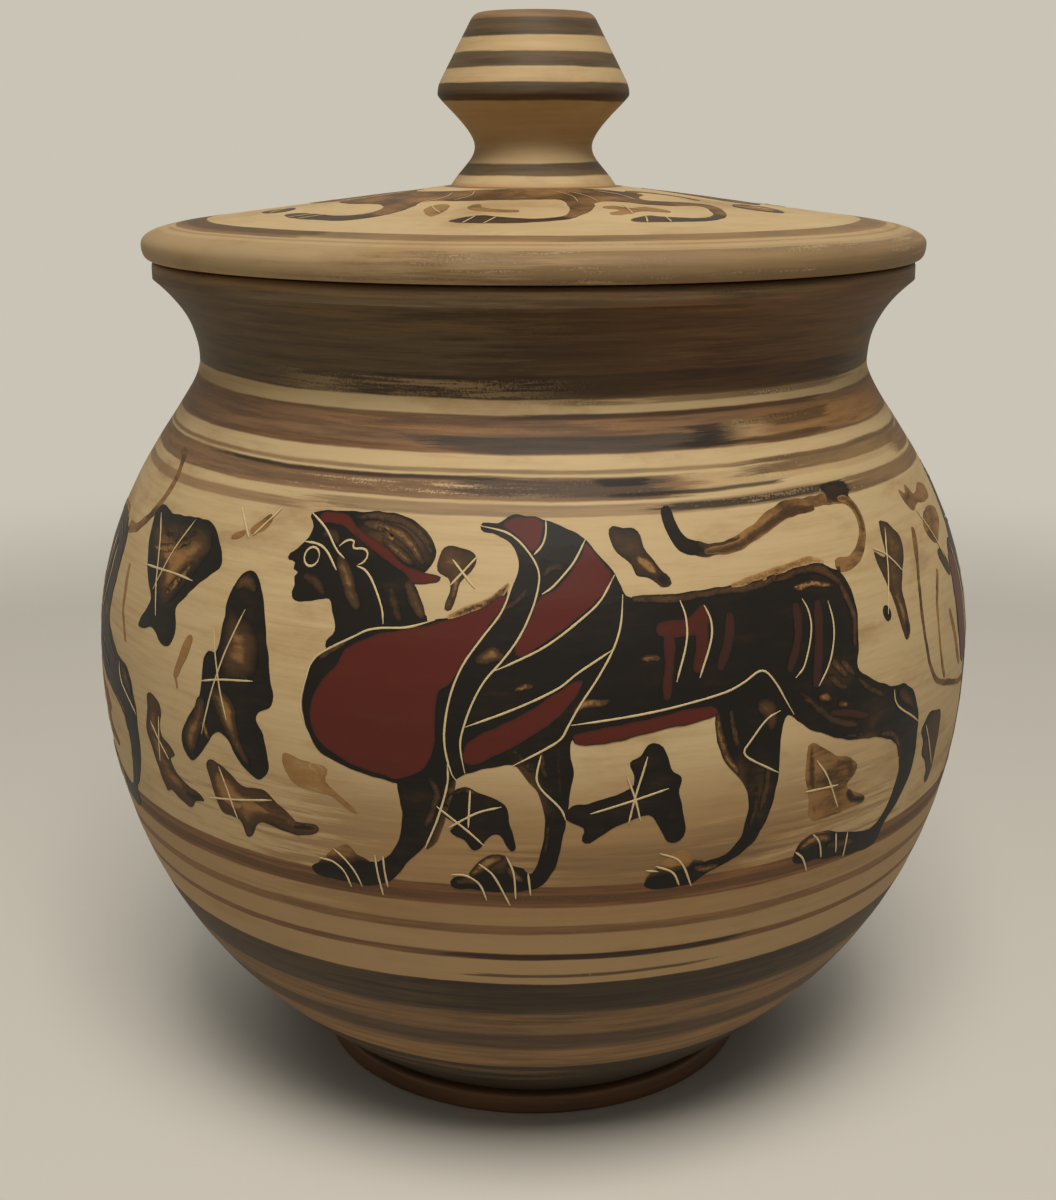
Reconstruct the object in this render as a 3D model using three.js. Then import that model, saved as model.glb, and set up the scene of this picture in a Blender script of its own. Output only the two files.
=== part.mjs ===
// A wheel-thrown earthenware jar with a loose lid, in millimetres, +Z up.
// The origin lies on the table, under the jar's axis.
// Every piece is a figure of revolution, drawn as a half section (radius, height) and turned about +Z.
import * as THREE from "three";

// Foot: the low ring that the jar stands on.
const FOOT_RADIUS = 43;
const FOOT_HEIGHT = 4.2;
const FOOT_WIDTH = 9; // across the ring, from outer to inner face
const FOOT_EDGE = 0.9; // rounding of its two lower edges

// Jar: the thrown wall, from the foot over belly, shoulder and neck to the rim.
const BASE_RADIUS = 41.2; // where the wall leaves the foot
const JAR_HEIGHT = 157; // from the table to the top of the rim
const BELLY_RADIUS = 84;
const BELLY_HEIGHT = 84; // from the table to the widest place
const NECK_RADIUS = 62.9;
const NECK_LENGTH = 18.1; // from the narrowest place to the top of the rim
const RIM_RADIUS = 70.7;
const LIP_DEPTH = 3.1; // upright face of the rim
const LIP_EDGE = 1.1; // rounding of the rim's edges
const WALL = 5.5; // thickness of the thrown wall
const FLOOR = 6; // thickness of the floor
const FLOOR_SWEEP = 7; // height of the hollow curve between floor and wall

// Lid: a low cone with a rounded edge, a flat seat and a locating ring below it.
const LID_GAP = 0.3; // between the rim and the lid's seat
const LID_OVERHANG = 1.7; // past the rim
const LID_EDGE = 5.4; // height of the rounded edge
const LID_EDGE_UNDERCUT = 1.6; // how far the edge rounds in to the seat
const LID_EDGE_SWEEP = 14; // run of the top's last stretch, where it curves down to the edge
const LID_RISE = 12.5; // from the seat to the landing of the knob
const LID_SLOPE = 0.128; // fall of the top for each millimetre outwards
const LID_THICKNESS = 6.5; // at the middle
const FLANGE_DEPTH = 9;
const FLANGE_WALL = 5;
const FLANGE_PLAY = 1.2; // between the locating ring and the mouth
const FLANGE_EDGE = 1;

// Knob: flared base, waist, widest collar and a cone that narrows to a flat top.
const KNOB_BASE_RADIUS = 15.4;
const KNOB_WAIST_RADIUS = 10.9;
const KNOB_WAIST_HEIGHT = 7;
const KNOB_RADIUS = 17.7; // at the collar
const KNOB_COLLAR_HEIGHT = 16.2;
const KNOB_COLLAR_EDGE = 1.4; // rounding above the collar
const KNOB_TOP_RADIUS = 10.8;
const KNOB_TOP_EDGE = 1.5;
const KNOB_HEIGHT = 30.6;

// Handles of the wall's curves, as shares of each curve's own width and height.
const LOWER_SPREAD = 0.462;
const LOWER_LIFT = 0.186;
const LOWER_FULLNESS = 0.539;
const SHOULDER_FULLNESS = 0.581;
const SHOULDER_TUCK = 0.148;
const NECK_UPRIGHT = 0.497;
const NECK_FLARE_OUT = 0.461;
const NECK_FLARE_UP = 0.209;

// Handles of the knob's curves, as shares of each curve's own run.
const BASE_SLOPE = 0.5;
const WAIST_UPRIGHT = 0.34;
const COLLAR_UPRIGHT = 0.1;

// Finishes.
const BUFF_SLIP = { color: 0xc6a877, roughness: 0.6, metalness: 0 };
const RED_SLIP = { color: 0x5a2f20, roughness: 0.7, metalness: 0 };
const BARE_CLAY = { color: 0xb98a5e, roughness: 0.75, metalness: 0 };

// Steps round the axis and along the curves.
const TURN_STEPS = 56;
const KNOB_TURN_STEPS = 40;
const WALL_STEPS = 9;
const NECK_STEPS = 6;
const SWEEP_STEPS = 5;
const EDGE_STEPS = 3;

const neckHeight = JAR_HEIGHT - NECK_LENGTH; // of the narrowest place

const v2 = (radius, height) => new THREE.Vector2(radius, height);

// Points of a curve without its first one, so that joined stretches share their ends.
const along = (curve, steps) => curve.getPoints(steps).slice(1);

const cubic = (from, leave, arrive, to, steps) =>
  along(new THREE.CubicBezierCurve(from, leave, arrive, to), steps);

const rounded = (from, corner, to, steps = EDGE_STEPS) =>
  along(new THREE.QuadraticBezierCurve(from, corner, to), steps);

// A point on the way from one point to another, a given distance along.
function towards(from, to, distance) {
  return from.clone().add(to.clone().sub(from).setLength(distance));
}

// Each point moved square to the line by a distance, to the left of the way it runs.
function offsetLeft(points, distance) {
  return points.map((point, i) => {
    const before = points[Math.max(i - 1, 0)];
    const after = points[Math.min(i + 1, points.length - 1)];
    const run = after.clone().sub(before).setLength(distance);
    return v2(point.x - run.y, point.y + run.x);
  });
}

// Radius of a rising line of points at a height.
function radiusAt(points, height) {
  const next = points.findIndex((point) => point.y >= height);
  const above = next < 0 ? points.length - 1 : Math.max(1, next);
  const low = points[above - 1];
  const high = points[above];
  const share = (height - low.y) / (high.y - low.y);
  return THREE.MathUtils.lerp(low.x, high.x, share);
}

function turnedPiece(name, section, finish, steps = TURN_STEPS) {
  const material = new THREE.MeshStandardMaterial(finish);
  const piece = new THREE.Mesh(new THREE.LatheGeometry(section, steps), material);
  piece.name = name;
  piece.rotation.x = Math.PI / 2; // a lathe turns about Y, and the jar stands along Z
  return piece;
}

// Outer face of the wall, from the foot up to the lip.
function outerWall() {
  const base = v2(BASE_RADIUS, FOOT_HEIGHT);
  const belly = v2(BELLY_RADIUS, BELLY_HEIGHT);
  const neck = v2(NECK_RADIUS, neckHeight);
  const lip = v2(RIM_RADIUS, JAR_HEIGHT - LIP_DEPTH);
  const lower = belly.clone().sub(base);
  const shoulder = neck.y - belly.y;
  const flare = lip.clone().sub(neck);
  return [
    base,
    ...cubic(
      base,
      v2(base.x + LOWER_SPREAD * lower.x, base.y + LOWER_LIFT * lower.y),
      v2(belly.x, belly.y - LOWER_FULLNESS * lower.y),
      belly,
      WALL_STEPS,
    ),
    ...cubic(
      belly,
      v2(belly.x, belly.y + SHOULDER_FULLNESS * shoulder),
      v2(neck.x, neck.y - SHOULDER_TUCK * shoulder),
      neck,
      WALL_STEPS,
    ),
    ...cubic(
      neck,
      v2(neck.x, neck.y + NECK_UPRIGHT * flare.y),
      v2(lip.x - NECK_FLARE_OUT * flare.x, lip.y - NECK_FLARE_UP * flare.y),
      lip,
      NECK_STEPS,
    ),
  ];
}

const outer = outerWall();
const floorTop = FOOT_HEIGHT + FLOOR;
const inner = offsetLeft(outer, WALL).filter(
  (point) => point.y > floorTop + FLOOR_SWEEP && point.y < JAR_HEIGHT - LIP_EDGE,
);

// The vessel: underside, outer wall, rim, inner wall and floor in one section.
function jarBody() {
  const mouth = inner[inner.length - 1];
  const rimOut = v2(RIM_RADIUS, JAR_HEIGHT - LIP_EDGE);
  const rimIn = v2(mouth.x + LIP_EDGE, JAR_HEIGHT);
  const sweepTop = inner[0];
  const sweepCorner = v2(sweepTop.x - (sweepTop.y - floorTop), floorTop);
  const sweepFoot = v2(sweepCorner.x - (sweepTop.y - floorTop), floorTop);
  return turnedPiece(
    "jar_body",
    [
      v2(0, FOOT_HEIGHT),
      ...outer,
      rimOut,
      ...rounded(rimOut, v2(RIM_RADIUS, JAR_HEIGHT), v2(RIM_RADIUS - LIP_EDGE, JAR_HEIGHT)),
      rimIn,
      ...rounded(rimIn, v2(mouth.x, JAR_HEIGHT), mouth),
      ...inner.slice(0, -1).reverse(),
      ...rounded(sweepTop, sweepCorner, sweepFoot, SWEEP_STEPS),
      v2(0, floorTop),
    ],
    BUFF_SLIP,
  );
}

function footRing() {
  const inside = FOOT_RADIUS - FOOT_WIDTH;
  const outCorner = v2(FOOT_RADIUS, 0);
  const inCorner = v2(inside, 0);
  const outLow = v2(FOOT_RADIUS - FOOT_EDGE, 0);
  const outHigh = v2(FOOT_RADIUS, FOOT_EDGE);
  const inLow = v2(inside + FOOT_EDGE, 0);
  const inHigh = v2(inside, FOOT_EDGE);
  const shoulder = v2(FOOT_RADIUS, FOOT_HEIGHT - FOOT_EDGE);
  const top = v2(Math.min(BASE_RADIUS, FOOT_RADIUS - FOOT_EDGE), FOOT_HEIGHT);
  return turnedPiece(
    "foot_ring",
    [
      inLow,
      outLow,
      ...rounded(outLow, outCorner, outHigh),
      shoulder,
      top,
      v2(inside, FOOT_HEIGHT),
      inHigh,
      ...rounded(inHigh, inCorner, inLow),
    ],
    RED_SLIP,
  );
}

// Where the lid sits, and the locating ring that hangs in the mouth.
const lidSeat = JAR_HEIGHT + LID_GAP;
const lidRadius = RIM_RADIUS + LID_OVERHANG;
const landing = lidSeat + LID_RISE;
const flangeFoot = lidSeat - FLANGE_DEPTH;
const flangeRadius = radiusAt(inner, Math.max(flangeFoot, neckHeight)) - FLANGE_PLAY;
const flangeInside = flangeRadius - FLANGE_WALL;

function lidPlate() {
  const landingRim = v2(KNOB_BASE_RADIUS, landing);
  const bendRadius = lidRadius - LID_EDGE_SWEEP;
  const bend = v2(bendRadius, landing - LID_SLOPE * (bendRadius - KNOB_BASE_RADIUS));
  const edge = v2(lidRadius, lidSeat + LID_EDGE / 2);
  const seatRim = v2(lidRadius - LID_EDGE_UNDERCUT, lidSeat);
  const half = LID_EDGE_SWEEP / 2;
  const hollowTop = v2(0, landing - LID_THICKNESS);
  const hollowRim = v2(flangeInside, lidSeat);
  return turnedPiece(
    "lid_plate",
    [
      hollowTop,
      ...rounded(hollowTop, v2(flangeInside / 2, hollowTop.y), hollowRim, SWEEP_STEPS),
      seatRim,
      ...rounded(seatRim, v2(lidRadius, lidSeat), edge),
      ...cubic(
        edge,
        v2(lidRadius, edge.y + LID_EDGE / 2),
        v2(bend.x + half, bend.y - LID_SLOPE * half),
        bend,
        SWEEP_STEPS,
      ),
      landingRim,
      v2(0, landing),
    ],
    BUFF_SLIP,
  );
}

function lidFlange() {
  const outLow = v2(flangeRadius, flangeFoot);
  const inLow = v2(flangeInside, flangeFoot);
  const outFace = v2(flangeRadius, flangeFoot + FLANGE_EDGE);
  const inFace = v2(flangeInside, flangeFoot + FLANGE_EDGE);
  const outFoot = v2(flangeRadius - FLANGE_EDGE, flangeFoot);
  const inFoot = v2(flangeInside + FLANGE_EDGE, flangeFoot);
  return turnedPiece(
    "lid_flange",
    [
      inFoot,
      outFoot,
      ...rounded(outFoot, outLow, outFace),
      v2(flangeRadius, lidSeat),
      v2(flangeInside, lidSeat),
      inFace,
      ...rounded(inFace, inLow, inFoot),
    ],
    BARE_CLAY,
  );
}

function lidKnob() {
  const base = v2(KNOB_BASE_RADIUS, landing);
  const waist = v2(KNOB_WAIST_RADIUS, landing + KNOB_WAIST_HEIGHT);
  const collar = v2(KNOB_RADIUS, landing + KNOB_COLLAR_HEIGHT);
  const crown = v2(KNOB_TOP_RADIUS, landing + KNOB_HEIGHT);
  const flare = collar.y - waist.y;
  const collarCorner = v2(collar.x, collar.y + KNOB_COLLAR_EDGE);
  const collarHigh = towards(collarCorner, crown, KNOB_COLLAR_EDGE);
  const crownLow = towards(crown, collarHigh, KNOB_TOP_EDGE);
  const crownIn = v2(crown.x - KNOB_TOP_EDGE, crown.y);
  return turnedPiece(
    "lid_knob",
    [
      v2(0, landing),
      base,
      ...cubic(
        base,
        base.clone().lerp(waist, BASE_SLOPE),
        v2(waist.x, waist.y - WAIST_UPRIGHT * KNOB_WAIST_HEIGHT),
        waist,
        SWEEP_STEPS,
      ),
      ...cubic(
        waist,
        v2(waist.x, waist.y + WAIST_UPRIGHT * flare),
        v2(collar.x, collar.y - COLLAR_UPRIGHT * flare),
        collar,
        SWEEP_STEPS,
      ),
      ...rounded(collar, collarCorner, collarHigh),
      crownLow,
      ...rounded(crownLow, crown, crownIn),
      v2(0, crown.y),
    ],
    BUFF_SLIP,
    KNOB_TURN_STEPS,
  );
}

const jar = new THREE.Group();
jar.name = "jar";
jar.add(jarBody(), footRing());

const lid = new THREE.Group();
lid.name = "lid";
lid.add(lidPlate(), lidFlange(), lidKnob());

const liddedJar = new THREE.Group();
liddedJar.name = "lidded_jar";
liddedJar.add(jar, lid);

export default liddedJar;
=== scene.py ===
"""A painted earthenware jar with a loose lid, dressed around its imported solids.

Clay is turned by one geometry-node tree from half sections. Bands are brushed on by the materials.
Figures, ornaments and scratched lines are drawn flat, as arc along the wall and height above the
table, and a second tree lays them on the clay.
"""
import math
import random
from collections import namedtuple

import bpy
from bpy.props import FloatProperty, FloatVectorProperty, IntProperty, PointerProperty
from bpy.types import Operator, Panel, PropertyGroup
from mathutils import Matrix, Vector, noise
from mathutils.geometry import delaunay_2d_cdt, interpolate_bezier


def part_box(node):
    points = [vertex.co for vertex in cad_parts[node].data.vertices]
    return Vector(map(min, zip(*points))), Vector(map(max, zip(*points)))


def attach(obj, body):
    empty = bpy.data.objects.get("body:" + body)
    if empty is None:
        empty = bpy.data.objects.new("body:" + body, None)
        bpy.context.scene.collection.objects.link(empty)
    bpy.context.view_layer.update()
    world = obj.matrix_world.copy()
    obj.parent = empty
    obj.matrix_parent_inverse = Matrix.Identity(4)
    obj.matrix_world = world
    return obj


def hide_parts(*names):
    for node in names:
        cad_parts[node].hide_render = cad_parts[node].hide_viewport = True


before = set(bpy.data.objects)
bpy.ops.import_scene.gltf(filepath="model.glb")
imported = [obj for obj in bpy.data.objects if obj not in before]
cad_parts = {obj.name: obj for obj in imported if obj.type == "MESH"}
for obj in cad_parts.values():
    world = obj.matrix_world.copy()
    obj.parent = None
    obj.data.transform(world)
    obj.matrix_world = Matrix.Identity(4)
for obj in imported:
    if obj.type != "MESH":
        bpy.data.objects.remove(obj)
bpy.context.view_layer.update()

bl_info = {
    "name": "Painted lidded jar",
    "version": (1, 0, 0),
    "blender": (4, 5, 0),
    "location": "View3D > Sidebar > Jar",
    "description": "Turns, paints and scratches an earthenware jar with a loose lid",
    "category": "Object",
}

MM = 0.001

# Handles of the wall's curves, as shares of each curve's own width and height
LOWER_SPREAD = 0.462
LOWER_LIFT = 0.186
LOWER_FULLNESS = 0.539
SHOULDER_FULLNESS = 0.581
SHOULDER_TUCK = 0.148
NECK_UPRIGHT = 0.497
NECK_FLARE_OUT = 0.461
NECK_FLARE_UP = 0.209

# Handles of the knob's curves, as shares of each curve's own run
BASE_SLOPE = 0.5
WAIST_UPRIGHT = 0.34
COLLAR_UPRIGHT = 0.1

# Steps along the sections, and the angle past which an edge stays crisp
WALL_STEPS = 56
NECK_STEPS = 18
EDGE_STEPS = 6
SWEEP_STEPS = 14
CONE_STEPS = 14
LID_TOP_STEPS = 24
UNDERSIDE_STEPS = 12
FLOOR_STEPS = 10
FACE_STEPS = 6
SHORT_STEPS = 4
LIP_STEPS = 3
CRISP_ANGLE = math.radians(40)

# How far handles reach towards a rounded corner
CORNER_PULL = 2 / 3

# Shares of the wheel's unevenness that the lid and the knob show
LID_RELIEF = 0.8
KNOB_RELIEF = 0.6
KNOB_THROWN = 0.4

# Drawing steps, in millimetres
OUTLINE_STEP = 0.7
FILL_STEP = 2.1
FILL_JITTER = 0.35
ORNAMENT_STEP = 1.2
MARK_STEP = 0.55
MARK_EDGE = 0.45
MARK_END = 0.5
MARK_SOFTNESS = 0.8

# Slip pools along an ornament's outline: share of its thinness there and in the middle
POOL_EDGE = 0.55
POOL_MIDDLE = 1.4
POOL_WIDTH = 2.4
POOL_LIMIT = 0.7
CDT_EPSILON = 1e-5

# The unsteady edge of a stroke: how far it strays, over what length, and its layer of the noise
HAND_WAVER = 0.24
HAND_LENGTH = 2.2
HAND_SEED = 0.5

# How a figure drawn again differs: over what length, and how far apart the seeds lie
DRIFT_LENGTH = 21
SEED_STEP = 9.7


def srgb(red, green, blue):
    """A colour as a painter reads it off a chart, 0 to 255, in the renderer's linear values."""
    def linear(part):
        share = part / 255
        return share / 12.92 if share <= 0.04045 else ((share + 0.055) / 1.055) ** 2.4
    return linear(red), linear(green), linear(blue)


def length(name, description, millimetres):
    """A size that a user may change, written in millimetres and kept in metres."""
    return FloatProperty(name=name, description=description, default=millimetres * MM,
                         min=0.0, precision=5, subtype="DISTANCE", unit="LENGTH")


def colour(name, description, red, green, blue):
    """A colour that a user may change."""
    return FloatVectorProperty(name=name, description=description, size=3, min=0.0, max=1.0,
                               default=srgb(red, green, blue), subtype="COLOR")


def widest(node):
    """Radius of a turned node of the frame, in millimetres."""
    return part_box(node)[1].x / MM


def lowest(node):
    """Height of a node's lower end, in millimetres."""
    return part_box(node)[0].z / MM


def highest(node):
    """Height of a node's upper end, in millimetres."""
    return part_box(node)[1].z / MM


class JarSizes(PropertyGroup):
    """The thrown jar and its foot."""
    foot_radius: length("Foot radius", "Outer radius of the ring foot", widest("foot_ring"))
    foot_height: length("Foot height", "Height of the ring foot", highest("foot_ring"))
    foot_width: length("Foot width", "Across the ring, from outer to inner face", 9)
    foot_edge: length("Foot edge", "Rounding of the foot's lower edges", 0.9)
    base_radius: length("Base radius", "Where the wall leaves the foot", 41.2)
    jar_height: length("Jar height", "From the table to the top of the rim", highest("jar_body"))
    belly_radius: length("Belly radius", "Radius of the widest place", widest("jar_body"))
    belly_height: length("Belly height", "From the table to the widest place", 84)
    neck_radius: length("Neck radius", "Radius of the narrowest place", 62.9)
    neck_length: length("Neck length", "From the narrowest place to the top of the rim", 18.1)
    rim_radius: length("Rim radius", "Outer radius of the rim", 70.7)
    lip_depth: length("Lip depth", "Upright face of the rim", 3.1)
    lip_edge: length("Lip edge", "Rounding of the rim", 1.1)
    wall: length("Wall", "Thickness of the thrown wall", 5.5)
    floor: length("Floor", "Thickness of the floor", 6)
    floor_sweep: length("Floor sweep", "Hollow curve between floor and wall", 7)


class LidSizes(PropertyGroup):
    """The lid, its locating ring and its knob."""
    radius: length("Lid radius", "Radius of the lid's edge", widest("lid_plate"))
    seat: length("Seat height", "From the table to the lid's seat", lowest("lid_plate"))
    landing: length("Landing height", "From the table to the knob's foot", lowest("lid_knob"))
    edge: length("Lid edge", "Height of the rounded edge", 5.4)
    undercut: length("Edge undercut", "How far the edge rounds in to the seat", 1.6)
    edge_sweep: length("Edge sweep", "Run of the last stretch that curves to the edge", 14)
    slope: FloatProperty(name="Slope", description="Fall of the top for each unit outwards",
                         default=0.128, min=0.0, max=1.0)
    thickness: length("Lid thickness", "Thickness at the middle", 6.5)
    ring_radius: length("Ring radius", "Outer radius of the locating ring", widest("lid_flange"))
    ring_foot: length("Ring foot", "Height of the locating ring's lower end", lowest("lid_flange"))
    ring_wall: length("Ring wall", "Thickness of the locating ring", 5)
    ring_edge: length("Ring edge", "Rounding of the locating ring", 1)
    knob_base: length("Knob base", "Radius of the knob's flared foot", 15.4)
    knob_waist: length("Knob waist", "Radius of the knob's waist", 10.9)
    knob_waist_rise: length("Waist rise", "From the knob's foot to its waist", 7)
    knob_radius: length("Knob radius", "Radius of the collar", widest("lid_knob"))
    knob_collar_rise: length("Collar rise", "From the knob's foot to its collar", 16.2)
    knob_collar_edge: length("Collar edge", "Rounding above the collar", 1.4)
    knob_top: length("Knob top", "Radius of the flat top", 10.8)
    knob_top_edge: length("Top edge", "Rounding of the flat top", 1.5)
    knob_crown: length("Crown height", "From the table to the knob's top", highest("lid_knob"))


class PaintSizes(PropertyGroup):
    """Slip and scratches, and how the clay was thrown."""
    slip_lift: length("Slip lift", "How far dark slip stands above the clay", 0.06)
    red_lift: length("Red lift", "How far red slip stands above the clay", 0.11)
    mark_lift: length("Mark lift", "How far brush marks stand above the clay", 0.085)
    slip_sink: length("Slip sink", "How far slip reaches into the clay", 0.1)
    scratch_width: length("Scratch width", "Width of the pale lines", 0.34)
    scratch_lift: length("Scratch lift", "Height of the pale lines' middle above the clay", 0.12)
    ring_depth: length("Throwing rings", "Depth of the finger rings of the wheel", 0.026)
    ring_spacing: length("Ring spacing", "Distance between finger rings", 6.4)
    wobble: length("Wobble", "Unevenness of the thrown wall", 0.22)
    turn_steps: IntProperty(name="Turn steps", description="Steps round each turned piece",
                            default=224, min=48, max=512)
    seed: IntProperty(name="Seed", description="Choice of the hand's unevenness", default=7)


class ClayColours(PropertyGroup):
    """Clay and slips."""
    cream: colour("Cream ground", "Buff slip under the painting", 198, 173, 129)
    cream_worn: colour("Worn cream", "Buff slip where it lies thin", 178, 149, 106)
    stain: colour("Stain", "Smudges of thinned slip on the ground", 146, 112, 72)
    black: colour("Black slip", "Full black slip of the figures", 22, 18, 13)
    umber: colour("Umber slip", "Black slip where it lies thin", 74, 53, 33)
    wash: colour("Washed slip", "Black slip where it is almost wiped off", 146, 108, 64)
    dark: colour("Dark band slip", "Olive black of the broad bands", 69, 55, 38)
    slate: colour("Slate band slip", "Bluish grey of overlaid strokes", 58, 52, 45)
    mauve: colour("Mauve band slip", "Greyish red-brown of the shoulder", 113, 84, 60)
    brown: colour("Brown band slip", "Diluted brown of the bands", 102, 76, 48)
    russet: colour("Russet band slip", "Reddish brown of the bands", 106, 70, 42)
    red: colour("Red slip", "Added red of breast, wing and ribs", 84, 33, 24)
    rubbed: colour("Rubbed red", "Red slip where the black under it shows", 42, 33, 27)
    scratch: colour("Scratched clay", "Clay where a point has cut the slip", 204, 182, 134)
    foot: colour("Foot slip", "Red-brown of the foot", 104, 69, 40)
    bare: colour("Bare clay", "Unpainted fired clay", 176, 124, 84)


def sizes():
    """The jar's own settings."""
    return bpy.context.scene.jar_sizes


def lid_sizes():
    """The lid's settings."""
    return bpy.context.scene.jar_lid


def paint():
    """The painter's settings."""
    return bpy.context.scene.jar_paint


def shade(name):
    """A colour of the settings, with full opacity."""
    return (*getattr(bpy.context.scene.jar_colours, name), 1.0)


# Node trees

def add(tree, kind, inputs=None, **settings):
    """A node with its settings and its inputs, each a plain value or another node's output."""
    made = tree.nodes.new(kind)
    for name, value in settings.items():
        setattr(made, name, value)
    for key, value in (inputs or {}).items():
        if isinstance(value, bpy.types.NodeSocket):
            tree.links.new(value, made.inputs[key])
        else:
            made.inputs[key].default_value = value
    return made


def new(tree, kind, inputs=None, **settings):
    """The first output of a node made in the same way."""
    return add(tree, kind, inputs, **settings).outputs[0]


def calc(tree, operation, *values):
    """One step of arithmetic."""
    return new(tree, "ShaderNodeMath", dict(enumerate(values)), operation=operation)


def times(tree, first, second):
    """A product."""
    return calc(tree, "MULTIPLY", first, second)


def ramp(tree, value, low, high):
    """0 below low, 1 above high and a smooth rise between."""
    inputs = {"Value": value, "From Min": low, "From Max": high}
    return new(tree, "ShaderNodeMapRange", inputs, interpolation_type="SMOOTHSTEP")


def mix(tree, share, first, second, blend="MIX"):
    """A colour between two others, or another blend of them."""
    inputs = {0: share, 6: first, 7: second}
    return add(tree, "ShaderNodeMix", inputs, data_type="RGBA", blend_type=blend).outputs[2]


def joined(tree, x, y, z):
    """A vector from its three parts."""
    return new(tree, "ShaderNodeCombineXYZ", {0: x, 1: y, 2: z})


def parted(tree, vector):
    """The three parts of a vector."""
    return add(tree, "ShaderNodeSeparateXYZ", {0: vector}).outputs


def speckle(tree, vector, scale, detail, rough=0.5):
    """A noise value about one half."""
    inputs = {"Vector": vector, "Scale": scale, "Detail": detail, "Roughness": rough}
    return new(tree, "ShaderNodeTexNoise", inputs)


def about_zero(tree, value):
    """A noise value moved down to lie about zero."""
    return calc(tree, "SUBTRACT", value, 0.5)


def left_over(tree, share):
    """What a share leaves of the whole."""
    return calc(tree, "SUBTRACT", 1.0, share)


def weighed(tree, *pairs):
    """The sum of values, each times its weight."""
    total = 0.0
    for value, weight in pairs:
        total = calc(tree, "MULTIPLY_ADD", value, weight, total)
    return total


def from_axis(tree, x, y):
    """Distance from the upright axis."""
    return calc(tree, "SQRT", weighed(tree, (x, x), (y, y)))


def dressed(tree, shape, material):
    """Real geometry with its material, as each shape tree ends."""
    real = new(tree, "GeometryNodeRealizeInstances", {"Geometry": shape})
    return new(tree, "GeometryNodeSetMaterial", {"Geometry": real, "Material": material})


def new_tree(name, kind, takes, gives):
    """A node group with named sockets: its tree, the inputs to read and the outputs to feed."""
    tree = bpy.data.node_groups.new(name, kind)
    for in_out, sockets in (("INPUT", takes), ("OUTPUT", gives)):
        for label, socket_type, value in sockets:
            made = tree.interface.new_socket(label, in_out=in_out, socket_type=socket_type)
            if value is not None:
                made.default_value = value
    return tree, tree.nodes.new("NodeGroupInput").outputs, tree.nodes.new("NodeGroupOutput").inputs


FLOAT = "NodeSocketFloat"
INT = "NodeSocketInt"
SHAPE = "NodeSocketGeometry"
FINISH = "NodeSocketMaterial"
THING = "NodeSocketObject"
SWITCH = "NodeSocketBool"
PAINT = "NodeSocketColor"


# Unevenness of the wheel: its scale round the axis and its rise, and the gap that closes a seam
WOBBLE_SCALE = 0.9
WOBBLE_RISE = 30.0
SEAM_GAP = 2e-6


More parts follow.
